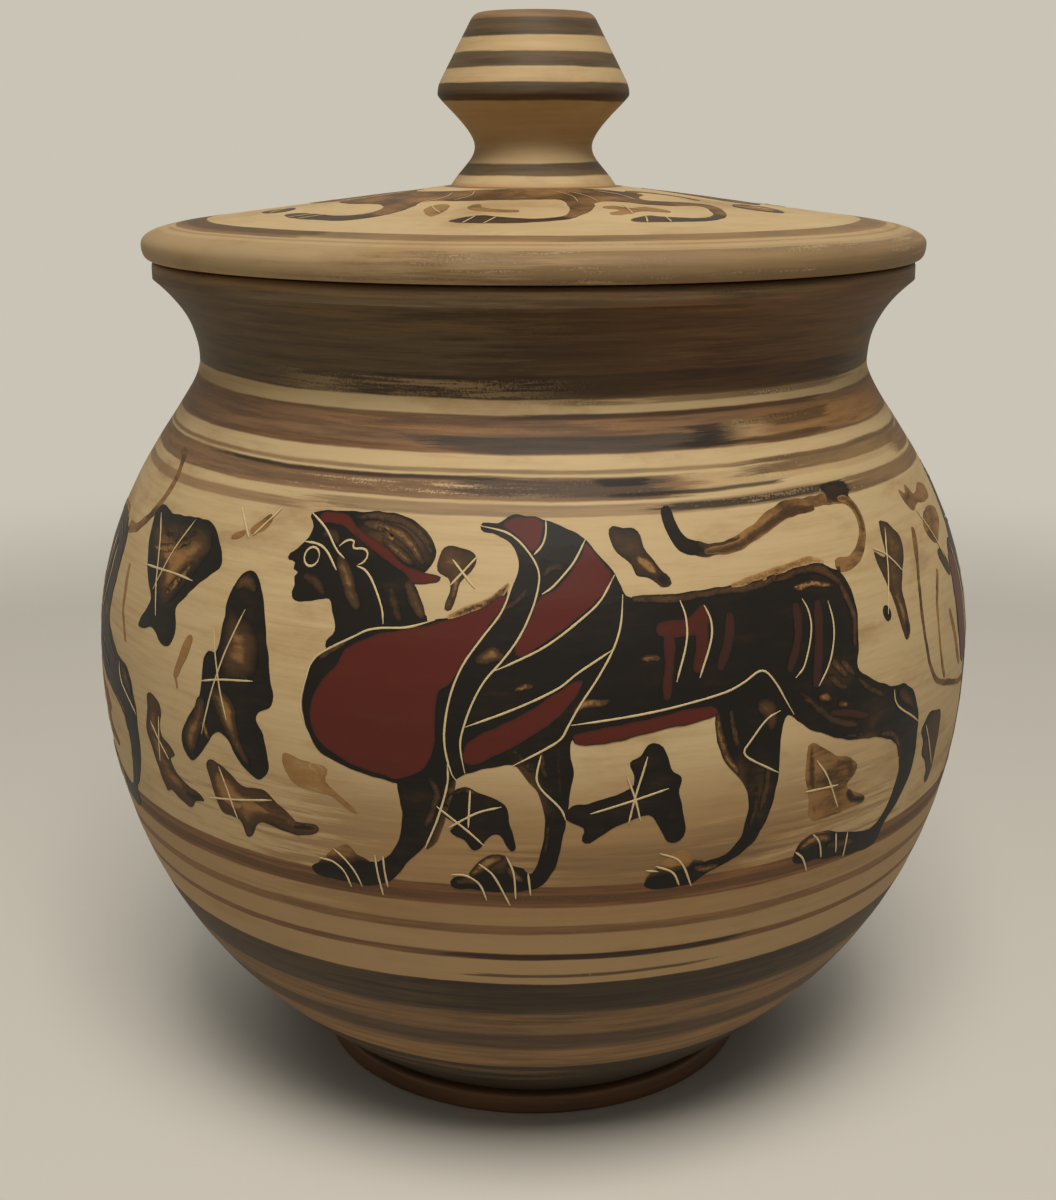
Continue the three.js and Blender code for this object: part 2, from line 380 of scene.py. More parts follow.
def throwing_tree():
    """Turns a half section about the upright axis, with finger rings and a slight wobble."""
    takes = [("Section", SHAPE, None), ("Turn Steps", INT, 224), ("Ring Depth", FLOAT, 0.0),
             ("Ring Spacing", FLOAT, 0.003), ("Wobble", FLOAT, 0.0), ("Seed", INT, 0),
             ("Clay", FINISH, None)]
    tree, given, out = new_tree("Thrown piece", "GeometryNodeTree", takes, [("Piece", SHAPE, None)])
    section = given["Section"]
    count = add(tree, "GeometryNodeAttributeDomainSize", {0: section}).outputs["Point Count"]
    columns = calc(tree, "ADD", given["Turn Steps"], 1)
    grid = new(tree, "GeometryNodeMeshGrid", {"Vertices X": columns, "Vertices Y": count})
    index = new(tree, "GeometryNodeInputIndex")
    row = calc(tree, "FLOORED_MODULO", index, count)
    column = calc(tree, "FLOOR", calc(tree, "DIVIDE", calc(tree, "ADD", index, 0.5), count))
    turn = times(tree, calc(tree, "DIVIDE", column, given["Turn Steps"]), math.tau)

    def sampled(value, data_type):
        inputs = {"Geometry": section, "Value": value, "Index": row}
        return new(tree, "GeometryNodeSampleIndex", inputs, data_type=data_type, domain="POINT")

    def marked_as(name):
        named = new(tree, "GeometryNodeInputNamedAttribute", {"Name": name}, data_type="FLOAT")
        return sampled(named, "FLOAT")

    place = sampled(new(tree, "GeometryNodeInputPosition"), "FLOAT_VECTOR")
    radius, _, height = parted(tree, place)
    sine = calc(tree, "SINE", turn)
    cosine = calc(tree, "COSINE", turn)
    climb = calc(tree, "DIVIDE", times(tree, height, math.tau), given["Ring Spacing"])
    winding = calc(tree, "SINE", calc(tree, "ADD", turn, climb))
    rings = times(tree, winding, given["Ring Depth"])
    round_the_wheel = joined(tree, sine, cosine, times(tree, height, WOBBLE_RISE))
    unevenness = new(tree, "ShaderNodeTexNoise",
                     {"Vector": round_the_wheel, "W": given["Seed"], "Scale": WOBBLE_SCALE, "Detail": 1.0},
                     noise_dimensions="4D")
    sway = times(tree, about_zero(tree, unevenness), given["Wobble"])
    relief = times(tree, calc(tree, "ADD", rings, sway), marked_as("thrown"))
    reach = calc(tree, "ADD", radius, relief)
    spot = joined(tree, times(tree, reach, sine), times(tree, reach, times(tree, cosine, -1.0)), height)
    moved = new(tree, "GeometryNodeSetPosition", {"Geometry": grid, "Position": spot})
    marked = new(tree, "GeometryNodeStoreNamedAttribute",
                 {"Geometry": moved, "Name": "bare", "Value": marked_as("bare")},
                 data_type="FLOAT", domain="POINT")
    closed = new(tree, "GeometryNodeMergeByDistance", {"Geometry": marked, "Distance": SEAM_GAP})
    smooth = new(tree, "GeometryNodeSetShadeSmooth", {"Geometry": closed, "Shade Smooth": True})
    angle = new(tree, "GeometryNodeInputMeshEdgeAngle")
    crisp = calc(tree, "GREATER_THAN", angle, CRISP_ANGLE)
    edged = new(tree, "GeometryNodeSetShadeSmooth",
                {"Geometry": smooth, "Selection": crisp, "Shade Smooth": False}, domain="EDGE")
    tree.links.new(dressed(tree, edged, given["Clay"]), out["Piece"])
    return tree


# What a drawing is laid on: the clay, the radius its arcs are drawn for, and where the rays start
GROUND_SOCKETS = [("Clay", THING, None), ("Arc Radius", FLOAT, 0.084), ("Reach", FLOAT, 0.3),
                  ("From Above", SWITCH, False), ("Slip", FINISH, None)]
RAY_LENGTH = 1.0
DOWN = (0.0, 0.0, -1.0)


def laying_tree():
    """Lays a flat drawing on the clay: x is arc, y is height or, on a lid, radius, z is lift."""
    takes = [("Drawing", SHAPE, None), *GROUND_SOCKETS]
    tree, given, out = new_tree("Laid on the clay", "GeometryNodeTree", takes, [("Paint", SHAPE, None)])
    arc, along, lift = parted(tree, new(tree, "GeometryNodeInputPosition"))
    turn = calc(tree, "DIVIDE", arc, given["Arc Radius"])
    sine = calc(tree, "SINE", turn)
    cosine = times(tree, calc(tree, "COSINE", turn), -1.0)
    outward = joined(tree, sine, cosine, 0.0)
    beside = joined(tree, times(tree, sine, given["Reach"]), times(tree, cosine, given["Reach"]), along)
    above = joined(tree, times(tree, sine, along), times(tree, cosine, along), given["Reach"])
    inward = new(tree, "ShaderNodeVectorMath", {0: outward, "Scale": -1.0}, operation="SCALE")

    def either(first, second):
        inputs = {"Switch": given["From Above"], "False": first, "True": second}
        return new(tree, "GeometryNodeSwitch", inputs, input_type="VECTOR")

    clay = add(tree, "GeometryNodeObjectInfo", {"Object": given["Clay"]},
               transform_space="RELATIVE").outputs["Geometry"]
    ray = {"Target Geometry": clay, "Source Position": either(beside, above),
           "Ray Direction": either(inward, DOWN), "Ray Length": RAY_LENGTH}
    found = add(tree, "GeometryNodeRaycast", ray).outputs
    raised = new(tree, "ShaderNodeVectorMath", {0: found["Hit Normal"], "Scale": lift},
                 operation="SCALE")
    spot = new(tree, "ShaderNodeVectorMath", {0: found["Hit Position"], 1: raised})
    laid = new(tree, "GeometryNodeSetPosition", {"Geometry": given["Drawing"], "Position": spot})
    outwards = new(tree, "GeometryNodeFlipFaces", {"Mesh": laid, "Selection": given["From Above"]})
    tree.links.new(dressed(tree, outwards, given["Slip"]), out["Paint"])
    return tree


# Pressure of the point along a scratch, and how its ends taper, as shares of its length and width
PRESSURE_SCALE = 700.0
PRESSURE_SPREAD = 0.7
PRESSURE_LEAST = 0.65
TAPER_LENGTH = 0.12
TAPER_LEAST = 0.38
POINT_SIDES = 8


def scratching_tree():
    """Sweeps a flattened round point along drawn lines, and lays the lines on the clay."""
    takes = [("Lines", SHAPE, None), *GROUND_SOCKETS, ("Width", FLOAT, 0.0005),
             ("Flatness", FLOAT, 0.3), ("Lift", FLOAT, 0.0001), ("Step", FLOAT, 0.0006)]
    tree, given, out = new_tree("Scratched line", "GeometryNodeTree", takes, [("Lines", SHAPE, None)])
    even = new(tree, "GeometryNodeResampleCurve", {"Curve": given["Lines"], "Length": given["Step"]},
               mode="LENGTH")
    factor = add(tree, "GeometryNodeSplineParameter").outputs["Factor"]
    end = calc(tree, "MINIMUM", factor, left_over(tree, factor))
    place = new(tree, "GeometryNodeInputPosition")
    pressure = calc(tree, "MULTIPLY_ADD", speckle(tree, place, PRESSURE_SCALE, 1.0),
                    PRESSURE_SPREAD, PRESSURE_LEAST)
    taper = calc(tree, "MULTIPLY_ADD", ramp(tree, end, 0.0, TAPER_LENGTH), 1 - TAPER_LEAST, TAPER_LEAST)
    point = times(tree, times(tree, taper, pressure), times(tree, given["Width"], 0.5))
    circle = new(tree, "GeometryNodeCurvePrimitiveCircle", {"Resolution": POINT_SIDES, "Radius": 1.0})
    swept = new(tree, "GeometryNodeCurveToMesh",
                {"Curve": even, "Profile Curve": circle, "Scale": point, "Fill Caps": True})
    arc, along, depth = parted(tree, new(tree, "GeometryNodeInputPosition"))
    flat = calc(tree, "MULTIPLY_ADD", depth, given["Flatness"], given["Lift"])
    pressed = new(tree, "GeometryNodeSetPosition",
                  {"Geometry": swept, "Position": joined(tree, arc, along, flat)})
    smooth = new(tree, "GeometryNodeSetShadeSmooth", {"Geometry": pressed, "Shade Smooth": True})
    inputs = {"Drawing": smooth, **{name: given[name] for name, _, _ in GROUND_SOCKETS}}
    laid = new(tree, "GeometryNodeGroup", inputs, node_tree=tree_named("Laid on the clay"))
    tree.links.new(laid, out["Lines"])
    return tree


def tree_named(name):
    """A shape tree, built when it is first asked for."""
    makers = {"Thrown piece": throwing_tree, "Laid on the clay": laying_tree,
              "Scratched line": scratching_tree}
    return bpy.data.node_groups.get(name) or makers[name]()


def put(name, data):
    """A new object in the scene."""
    made = bpy.data.objects.new(name, data)
    bpy.context.scene.collection.objects.link(made)
    return made


def shaped(source, tree_name, piece_name, values):
    """The plain mesh that a tree makes of a source object, which is removed."""
    tree = tree_named(tree_name)
    modifier = source.modifiers.new(tree_name, "NODES")
    modifier.node_group = tree
    for item in tree.interface.items_tree:
        if item.item_type == "SOCKET" and item.in_out == "INPUT" and item.name in values:
            modifier[item.identifier] = values[item.name]
    depsgraph = bpy.context.evaluated_depsgraph_get()
    depsgraph.update()
    mesh = bpy.data.meshes.new_from_object(source.evaluated_get(depsgraph), depsgraph=depsgraph)
    bpy.data.objects.remove(source)
    if not mesh.polygons:
        raise RuntimeError(f"{piece_name} came out empty")
    mesh.name = piece_name
    return put(piece_name, mesh)


# Half sections, as points (radius, height) in metres

Stretch = namedtuple("Stretch", "points bare thrown")


def cubic(start, leave, arrive, end, steps):
    """Points of a curve without its start."""
    handles = [Vector(point) for point in (start, leave, arrive, end)]
    return [tuple(point)[:2] for point in interpolate_bezier(*handles, steps + 1)][1:]


def rounded(start, corner, end, steps=EDGE_STEPS):
    """Points of a rounded corner without its start."""
    leave = Vector(start).lerp(Vector(corner), CORNER_PULL)
    arrive = Vector(end).lerp(Vector(corner), CORNER_PULL)
    return cubic(start, leave, arrive, end, steps)


def straight(start, end, steps):
    """Points of a straight stretch without its start."""
    return [tuple(Vector(start).lerp(Vector(end), i / steps)) for i in range(1, steps + 1)]


def towards(start, end, distance):
    """A point on the way from one point to another."""
    way = Vector(end) - Vector(start)
    return tuple(Vector(start) + way.normalized() * distance)


def offset_in(points, distance):
    """A rising line of points moved square to itself, to its left."""
    moved = []
    for i, point in enumerate(points):
        before = Vector(points[max(i - 1, 0)])
        after = Vector(points[min(i + 1, len(points) - 1)])
        run = (after - before).normalized() * distance
        moved.append((point[0] - run.y, point[1] + run.x))
    return moved


def section_object(name, stretches):
    """A half section as a line of vertices with its marks."""
    rows = [(point, part.bare, part.thrown) for part in stretches for point in part.points]
    mesh = bpy.data.meshes.new(name)
    mesh.from_pydata([(r, 0.0, z) for (r, z), _, _ in rows], [], [])
    for mark, column in (("bare", 1), ("thrown", 2)):
        attribute = mesh.attributes.new(mark, "FLOAT", "POINT")
        attribute.data.foreach_set("value", [float(row[column]) for row in rows])
    return put(name, mesh)


def turned(name, stretches, clay, relief=1.0):
    """A turned piece of clay from its half section."""
    p = paint()
    values = {"Turn Steps": p.turn_steps, "Ring Depth": p.ring_depth * relief,
              "Ring Spacing": p.ring_spacing, "Wobble": p.wobble * relief, "Seed": p.seed, "Clay": clay}
    return shaped(section_object(name + "_section", stretches), "Thrown piece", name, values)


def outer_wall(s):
    """Outer face of the wall, from the foot up to the lip."""
    base = (s.base_radius, s.foot_height)
    belly = (s.belly_radius, s.belly_height)
    neck = (s.neck_radius, s.jar_height - s.neck_length)
    lip = (s.rim_radius, s.jar_height - s.lip_depth)
    spread, rise = belly[0] - base[0], belly[1] - base[1]
    shoulder = neck[1] - belly[1]
    flare, lift = lip[0] - neck[0], lip[1] - neck[1]
    low_handle = (base[0] + LOWER_SPREAD * spread, base[1] + LOWER_LIFT * rise)
    full_handle = (belly[0], belly[1] - LOWER_FULLNESS * rise)
    lower = cubic(base, low_handle, full_handle, belly, WALL_STEPS)
    shoulder_handle = (belly[0], belly[1] + SHOULDER_FULLNESS * shoulder)
    tuck_handle = (neck[0], neck[1] - SHOULDER_TUCK * shoulder)
    upper = cubic(belly, shoulder_handle, tuck_handle, neck, WALL_STEPS)
    upright_handle = (neck[0], neck[1] + NECK_UPRIGHT * lift)
    flare_handle = (lip[0] - NECK_FLARE_OUT * flare, lip[1] - NECK_FLARE_UP * lift)
    return [base, *lower, *upper, *cubic(neck, upright_handle, flare_handle, lip, NECK_STEPS)]


def jar_section(s):
    """Underside, outer wall, rim, inner wall and floor."""
    outer = outer_wall(s)
    floor_top = s.foot_height + s.floor
    inner = [point for point in offset_in(outer, s.wall)
             if floor_top + s.floor_sweep < point[1] < s.jar_height - s.lip_edge]
    mouth = inner[-1]
    top = s.jar_height
    rim_out = (s.rim_radius, top - s.lip_edge)
    rim_top = (s.rim_radius - s.lip_edge, top)
    rim_in = (mouth[0] + s.lip_edge, top)
    sweep_top = inner[0]
    drop = sweep_top[1] - floor_top
    sweep_corner = (sweep_top[0] - drop, floor_top)
    sweep_foot = (sweep_corner[0] - drop, floor_top)
    rim = [*straight(outer[-1], rim_out, LIP_STEPS), *rounded(rim_out, (s.rim_radius, top), rim_top)]
    lip = [rim_in, *rounded(rim_in, (mouth[0], top), mouth)]
    sweep = rounded(sweep_top, sweep_corner, sweep_foot, SWEEP_STEPS)
    middle = (0.0, s.foot_height)
    underside = [middle, *straight(middle, outer[0], UNDERSIDE_STEPS)[:-1]]
    return [
        Stretch(underside, 1, 0),
        Stretch(outer[:1], 0, 0),
        Stretch(outer[1:], 0, 1),
        Stretch(rim, 0, 0),
        Stretch(lip, 1, 0),
        Stretch([*inner[:-1][::-1], *sweep], 1, 1),
        Stretch(straight(sweep_foot, (0.0, floor_top), FLOOR_STEPS), 1, 0),
    ]


def foot_section(s):
    """The ring foot, closed on itself."""
    inside = s.foot_radius - s.foot_width
    edge = s.foot_edge
    in_low = (inside + edge, 0.0)
    out_low = (s.foot_radius - edge, 0.0)
    out_high = (s.foot_radius, edge)
    in_high = (inside, edge)
    shoulder = (s.foot_radius, s.foot_height - edge)
    top = (min(s.base_radius, s.foot_radius - edge), s.foot_height)
    worn = [in_low, *straight(in_low, out_low, FACE_STEPS),
            *rounded(out_low, (s.foot_radius, 0.0), out_high)]
    painted = [*straight(out_high, shoulder, SHORT_STEPS),
               *rounded(shoulder, (s.foot_radius, s.foot_height), top)]
    hidden = [(inside, s.foot_height), in_high, *rounded(in_high, (inside, 0.0), in_low)]
    return [Stretch(worn, 1, 0), Stretch(painted, 0, 0), Stretch(hidden, 1, 0)]


def lid_section(lid):
    """Hollow underside, seat, rounded edge and the low cone of the top."""
    bend_radius = lid.radius - lid.edge_sweep
    bend = (bend_radius, lid.landing - lid.slope * (bend_radius - lid.knob_base))
    half = lid.edge_sweep / 2
    edge = (lid.radius, lid.seat + lid.edge / 2)
    seat_rim = (lid.radius - lid.undercut, lid.seat)
    ring_inside = lid.ring_radius - lid.ring_wall
    hollow_top = (0.0, lid.landing - lid.thickness)
    hollow_rim = (ring_inside, lid.seat)
    hollow = rounded(hollow_top, (ring_inside / 2, hollow_top[1]), hollow_rim, SWEEP_STEPS)
    over = cubic(edge, (lid.radius, edge[1] + lid.edge / 2),
                 (bend[0] + half, bend[1] - lid.slope * half), bend, SWEEP_STEPS)
    landing_rim = (lid.knob_base, lid.landing)
    top = [*over, *straight(bend, landing_rim, LID_TOP_STEPS)]
    under = [hollow_top, *hollow, *straight(hollow_rim, seat_rim, FACE_STEPS)]
    return [
        Stretch(under, 1, 0),
        Stretch(rounded(seat_rim, (lid.radius, lid.seat), edge), 0, 0),
        Stretch(top[:-1], 0, 1),
        Stretch([landing_rim, *straight(landing_rim, (0.0, lid.landing), SHORT_STEPS)], 0, 0),
    ]


def ring_section(lid):
    """The locating ring under the lid, closed on itself."""
    out, foot, edge = lid.ring_radius, lid.ring_foot, lid.ring_edge
    inside = out - lid.ring_wall
    in_foot = (inside + edge, foot)
    out_foot = (out - edge, foot)
    out_face = (out, foot + edge)
    in_face = (inside, foot + edge)
    in_top = (inside, lid.seat)
    points = [in_foot, *straight(in_foot, out_foot, LIP_STEPS),
              *rounded(out_foot, (out, foot), out_face),
              *straight(out_face, (out, lid.seat), FACE_STEPS),
              in_top, *straight(in_top, in_face, FACE_STEPS),
              *rounded(in_face, (inside, foot), in_foot)]
    return [Stretch(points, 1, 0)]


def knob_section(lid):
    """Flared foot, waist, collar and the cone up to the flat top."""
    base = (lid.knob_base, lid.landing)
    waist = (lid.knob_waist, lid.landing + lid.knob_waist_rise)
    collar = (lid.knob_radius, lid.landing + lid.knob_collar_rise)
    crown = (lid.knob_top, lid.knob_crown)
    flare = collar[1] - waist[1]
    corner = (collar[0], collar[1] + lid.knob_collar_edge)
    collar_high = towards(corner, crown, lid.knob_collar_edge)
    crown_low = towards(crown, collar_high, lid.knob_top_edge)
    crown_in = (crown[0] - lid.knob_top_edge, crown[1])
    foot = cubic(base, Vector(base).lerp(Vector(waist), BASE_SLOPE),
                 (waist[0], waist[1] - WAIST_UPRIGHT * lid.knob_waist_rise), waist, SWEEP_STEPS)
    neck = cubic(waist, (waist[0], waist[1] + WAIST_UPRIGHT * flare),
                 (collar[0], collar[1] - COLLAR_UPRIGHT * flare), collar, SWEEP_STEPS)
    brow = [*rounded(collar, corner, collar_high), *straight(collar_high, crown_low, CONE_STEPS),
            *rounded(crown_low, crown, crown_in)]
    middle = (0.0, lid.landing)
    return [
        Stretch([middle, *straight(middle, base, SHORT_STEPS)], 1, 0),
        Stretch([*foot, *neck, *brow], 0, KNOB_THROWN),
        Stretch(straight(crown_in, (0.0, lid.knob_crown), FACE_STEPS), 0, 0),
    ]


# Finishes

# A noise drawn out round the axis: scales across and along it for each metre, detail and roughness
Streak = namedtuple("Streak", "across along detail roughness")
BRUSH_LINES = Streak(44.0, 900.0, 6.0, 0.7)
SLOW_CLOUDS = Streak(26.0, 26.0, 3.0, 0.55)
GROUND_STAINS = Streak(38.0, 110.0, 5.0, 0.62)
FINE_GRAIN = Streak(2600.0, 2600.0, 2.0, 0.6)
EDGE_SWAY = Streak(30.0, 160.0, 7.0, 0.6)
SLIP_STROKES = Streak(110.0, 480.0, 6.0, 0.7)
SLIP_POOLS = Streak(150.0, 150.0, 3.0, 0.6)


def own_place(tree):
    """The three parts of a place on the piece itself."""
    return parted(tree, add(tree, "ShaderNodeTexCoord").outputs["Object"])


def streaked(tree, parts, streak):
    """A drawn-out noise at a place."""
    scales = (streak.across, streak.across, streak.along)
    place = joined(tree, *(times(tree, part, scale) for part, scale in zip(parts, scales)))
    return speckle(tree, place, 1.0, streak.detail, streak.roughness)


def streak_group():
    """Marks of the brush on a turning wheel: fine lines round the axis, clouds, stains and grain."""
    takes = [("Fineness", FLOAT, BRUSH_LINES.along)]
    gives = [(name, FLOAT, None) for name in ("Lines", "Clouds", "Stains", "Grain", "Sway")]
    tree, given, out = new_tree("Wheel streaks", "ShaderNodeTree", takes, gives)
    parts = own_place(tree)
    lines = BRUSH_LINES._replace(along=given["Fineness"])
    for name, streak in (("Lines", lines), ("Clouds", SLOW_CLOUDS), ("Stains", GROUND_STAINS),
                         ("Grain", FINE_GRAIN)):
        tree.links.new(streaked(tree, parts, streak), out[name])
    tree.links.new(about_zero(tree, streaked(tree, parts, EDGE_SWAY)), out["Sway"])
    return tree


# How far a band's edge strays and its ends fray, and how slip breaks up as it dries
WAVER_GAIN = 4.0
END_FRAY = 5.0
HAIR_GAIN = 0.4
DRY_GAIN = 0.62
DRY_START = 0.1
DRY_EDGE = 0.07


def band_group():
    """A band that a loaded brush leaves: its edges waver, its ends fade and dry slip breaks up."""
    takes = [("Place", FLOAT, 0.0), ("Low", FLOAT, 0.0), ("High", FLOAT, 0.0), ("Waver", FLOAT, 0.0003),
             ("Softness", FLOAT, 0.0003), ("Dryness", FLOAT, 0.0), ("Streaks", FLOAT, 0.5),
             ("Sway", FLOAT, 0.0), ("Grain", FLOAT, 0.5), ("Angle", FLOAT, 0.0), ("Middle", FLOAT, 0.0),
             ("Half Turn", FLOAT, 9.0), ("Fade", FLOAT, 0.12)]
    tree, given, out = new_tree("Brushed band", "ShaderNodeTree", takes, [("Mask", FLOAT, None)])

    def past(value, limit, run):
        return ramp(tree, value, calc(tree, "SUBTRACT", limit, run), calc(tree, "ADD", limit, run))

    strayed = times(tree, given["Waver"], WAVER_GAIN)
    place = calc(tree, "MULTIPLY_ADD", given["Sway"], strayed, given["Place"])
    above = past(place, given["Low"], given["Softness"])
    below = left_over(tree, past(place, given["High"], given["Softness"]))
    turn = calc(tree, "WRAP", calc(tree, "SUBTRACT", given["Angle"], given["Middle"]), math.pi, -math.pi)
    frayed = times(tree, about_zero(tree, given["Streaks"]), END_FRAY)
    reach = calc(tree, "MULTIPLY_ADD", frayed, given["Fade"], calc(tree, "ABSOLUTE", turn))
    ends = left_over(tree, past(reach, given["Half Turn"], times(tree, given["Fade"], 0.5)))
    hairs = calc(tree, "MULTIPLY_ADD", about_zero(tree, given["Grain"]), HAIR_GAIN, given["Streaks"])
    dry = calc(tree, "SUBTRACT", hairs, calc(tree, "MULTIPLY_ADD", given["Dryness"], DRY_GAIN, DRY_START))
    worn = ramp(tree, dry, -DRY_EDGE, DRY_EDGE)
    full = times(tree, times(tree, above, below), ends)
    tree.links.new(times(tree, full, worn), out["Mask"])
    return tree


# Between which thinnesses slip turns from one look to the next, and how the brush spreads it
RUBBED_TO_FULL = (-0.6, 0.0)
FULL_TO_THIN = (0.06, 0.6)
THIN_TO_WASH = (0.55, 1.0)
WASH_TO_GROUND = (0.95, 1.7)
BODY_LOST = (0.1, 0.9)
STROKE_SHARE = 0.8
POOL_SHARE = 0.5
LEAST_SPREAD = 0.6


def slip_group():
    """Slip from full to washed out, broken up by the brush; below zero what lies under it shows."""
    looks = ("Below", "Full", "Thin", "Wash", "Ground")
    takes = [("Thinness", FLOAT, 0.0), *((look, PAINT, None) for look in looks)]
    gives = [("Color", PAINT, None), ("Body", FLOAT, None)]
    tree, given, out = new_tree("Thinned slip", "ShaderNodeTree", takes, gives)
    parts = own_place(tree)
    strokes = about_zero(tree, streaked(tree, parts, SLIP_STROKES))
    pools = about_zero(tree, streaked(tree, parts, SLIP_POOLS))
    uneven = weighed(tree, (strokes, STROKE_SHARE), (pools, POOL_SHARE))
    spread = calc(tree, "ADD", given["Thinness"], LEAST_SPREAD)
    thin = calc(tree, "MULTIPLY_ADD", uneven, spread, given["Thinness"])
    base = mix(tree, ramp(tree, given["Thinness"], *RUBBED_TO_FULL), given["Below"], given["Full"])
    for look, limits in (("Thin", FULL_TO_THIN), ("Wash", THIN_TO_WASH), ("Ground", WASH_TO_GROUND)):
        base = mix(tree, ramp(tree, thin, *limits), base, given[look])
    tree.links.new(base, out["Color"])
    tree.links.new(left_over(tree, ramp(tree, thin, *BODY_LOST)), out["Body"])
    return tree


def effect(tree, name, inputs=None):
    """The outputs of a shader group, which is built when it is first asked for."""
    makers = {"Wheel streaks": streak_group, "Brushed band": band_group, "Thinned slip": slip_group}
    group = bpy.data.node_groups.get(name) or makers[name]()
    return add(tree, "ShaderNodeGroup", inputs, node_tree=group).outputs


def new_finish(name):
    """A new material, its tree and its shader."""
    material = bpy.data.materials.new(name)
    material.use_nodes = True
    shader = material.node_tree.nodes["Principled BSDF"]
    shader.inputs["Metallic"].default_value = 0.0
    return material, material.node_tree, shader


BUMP_STRENGTH = 0.5


def feed(tree, shader, base, roughness, relief, depth):
    """Colour, roughness and a bump, whose depth is in millimetres, into the shader."""
    inputs = {"Height": relief, "Distance": depth * MM, "Strength": BUMP_STRENGTH}
    bump = new(tree, "ShaderNodeBump", inputs)
    for value, socket in ((base, "Base Color"), (roughness, "Roughness"), (bump, "Normal")):
        tree.links.new(value, shader.inputs[socket])


# A wheel-marked surface: its roughness, what brush lines add to it, their relief, the grain's, its depth
Surface = namedtuple("Surface", "roughness rough_lines lines grain depth")
PAINTED_SURFACE = Surface(0.52, 0.24, 0.7, 0.3, 0.08)
PLAIN_SURFACE = Surface(0.55, 0.2, 0.7, 0.4, 0.1)


def feed_thrown(tree, shader, base, streaks, surface):
    """Colour, and the roughness and relief that a wheel leaves, into the shader."""
    rough = calc(tree, "MULTIPLY_ADD", streaks["Lines"], surface.rough_lines, surface.roughness)
    relief = weighed(tree, (streaks["Lines"], surface.lines), (streaks["Grain"], surface.grain))
    feed(tree, shader, base, rough, relief, surface.depth)


# A band: from and to in millimetres, colour, dryness, waver, strength, and where round the jar it lies
Band = namedtuple("Band", "low high slip dryness waver strength middle half_turn fade softness",
                  defaults=(0.0, 0.3, 1.0, 0.0, 9.0, 0.1, 0.18))

# How much of the brush's strokes a smudge shows
STAIN_STROKES = 0.35

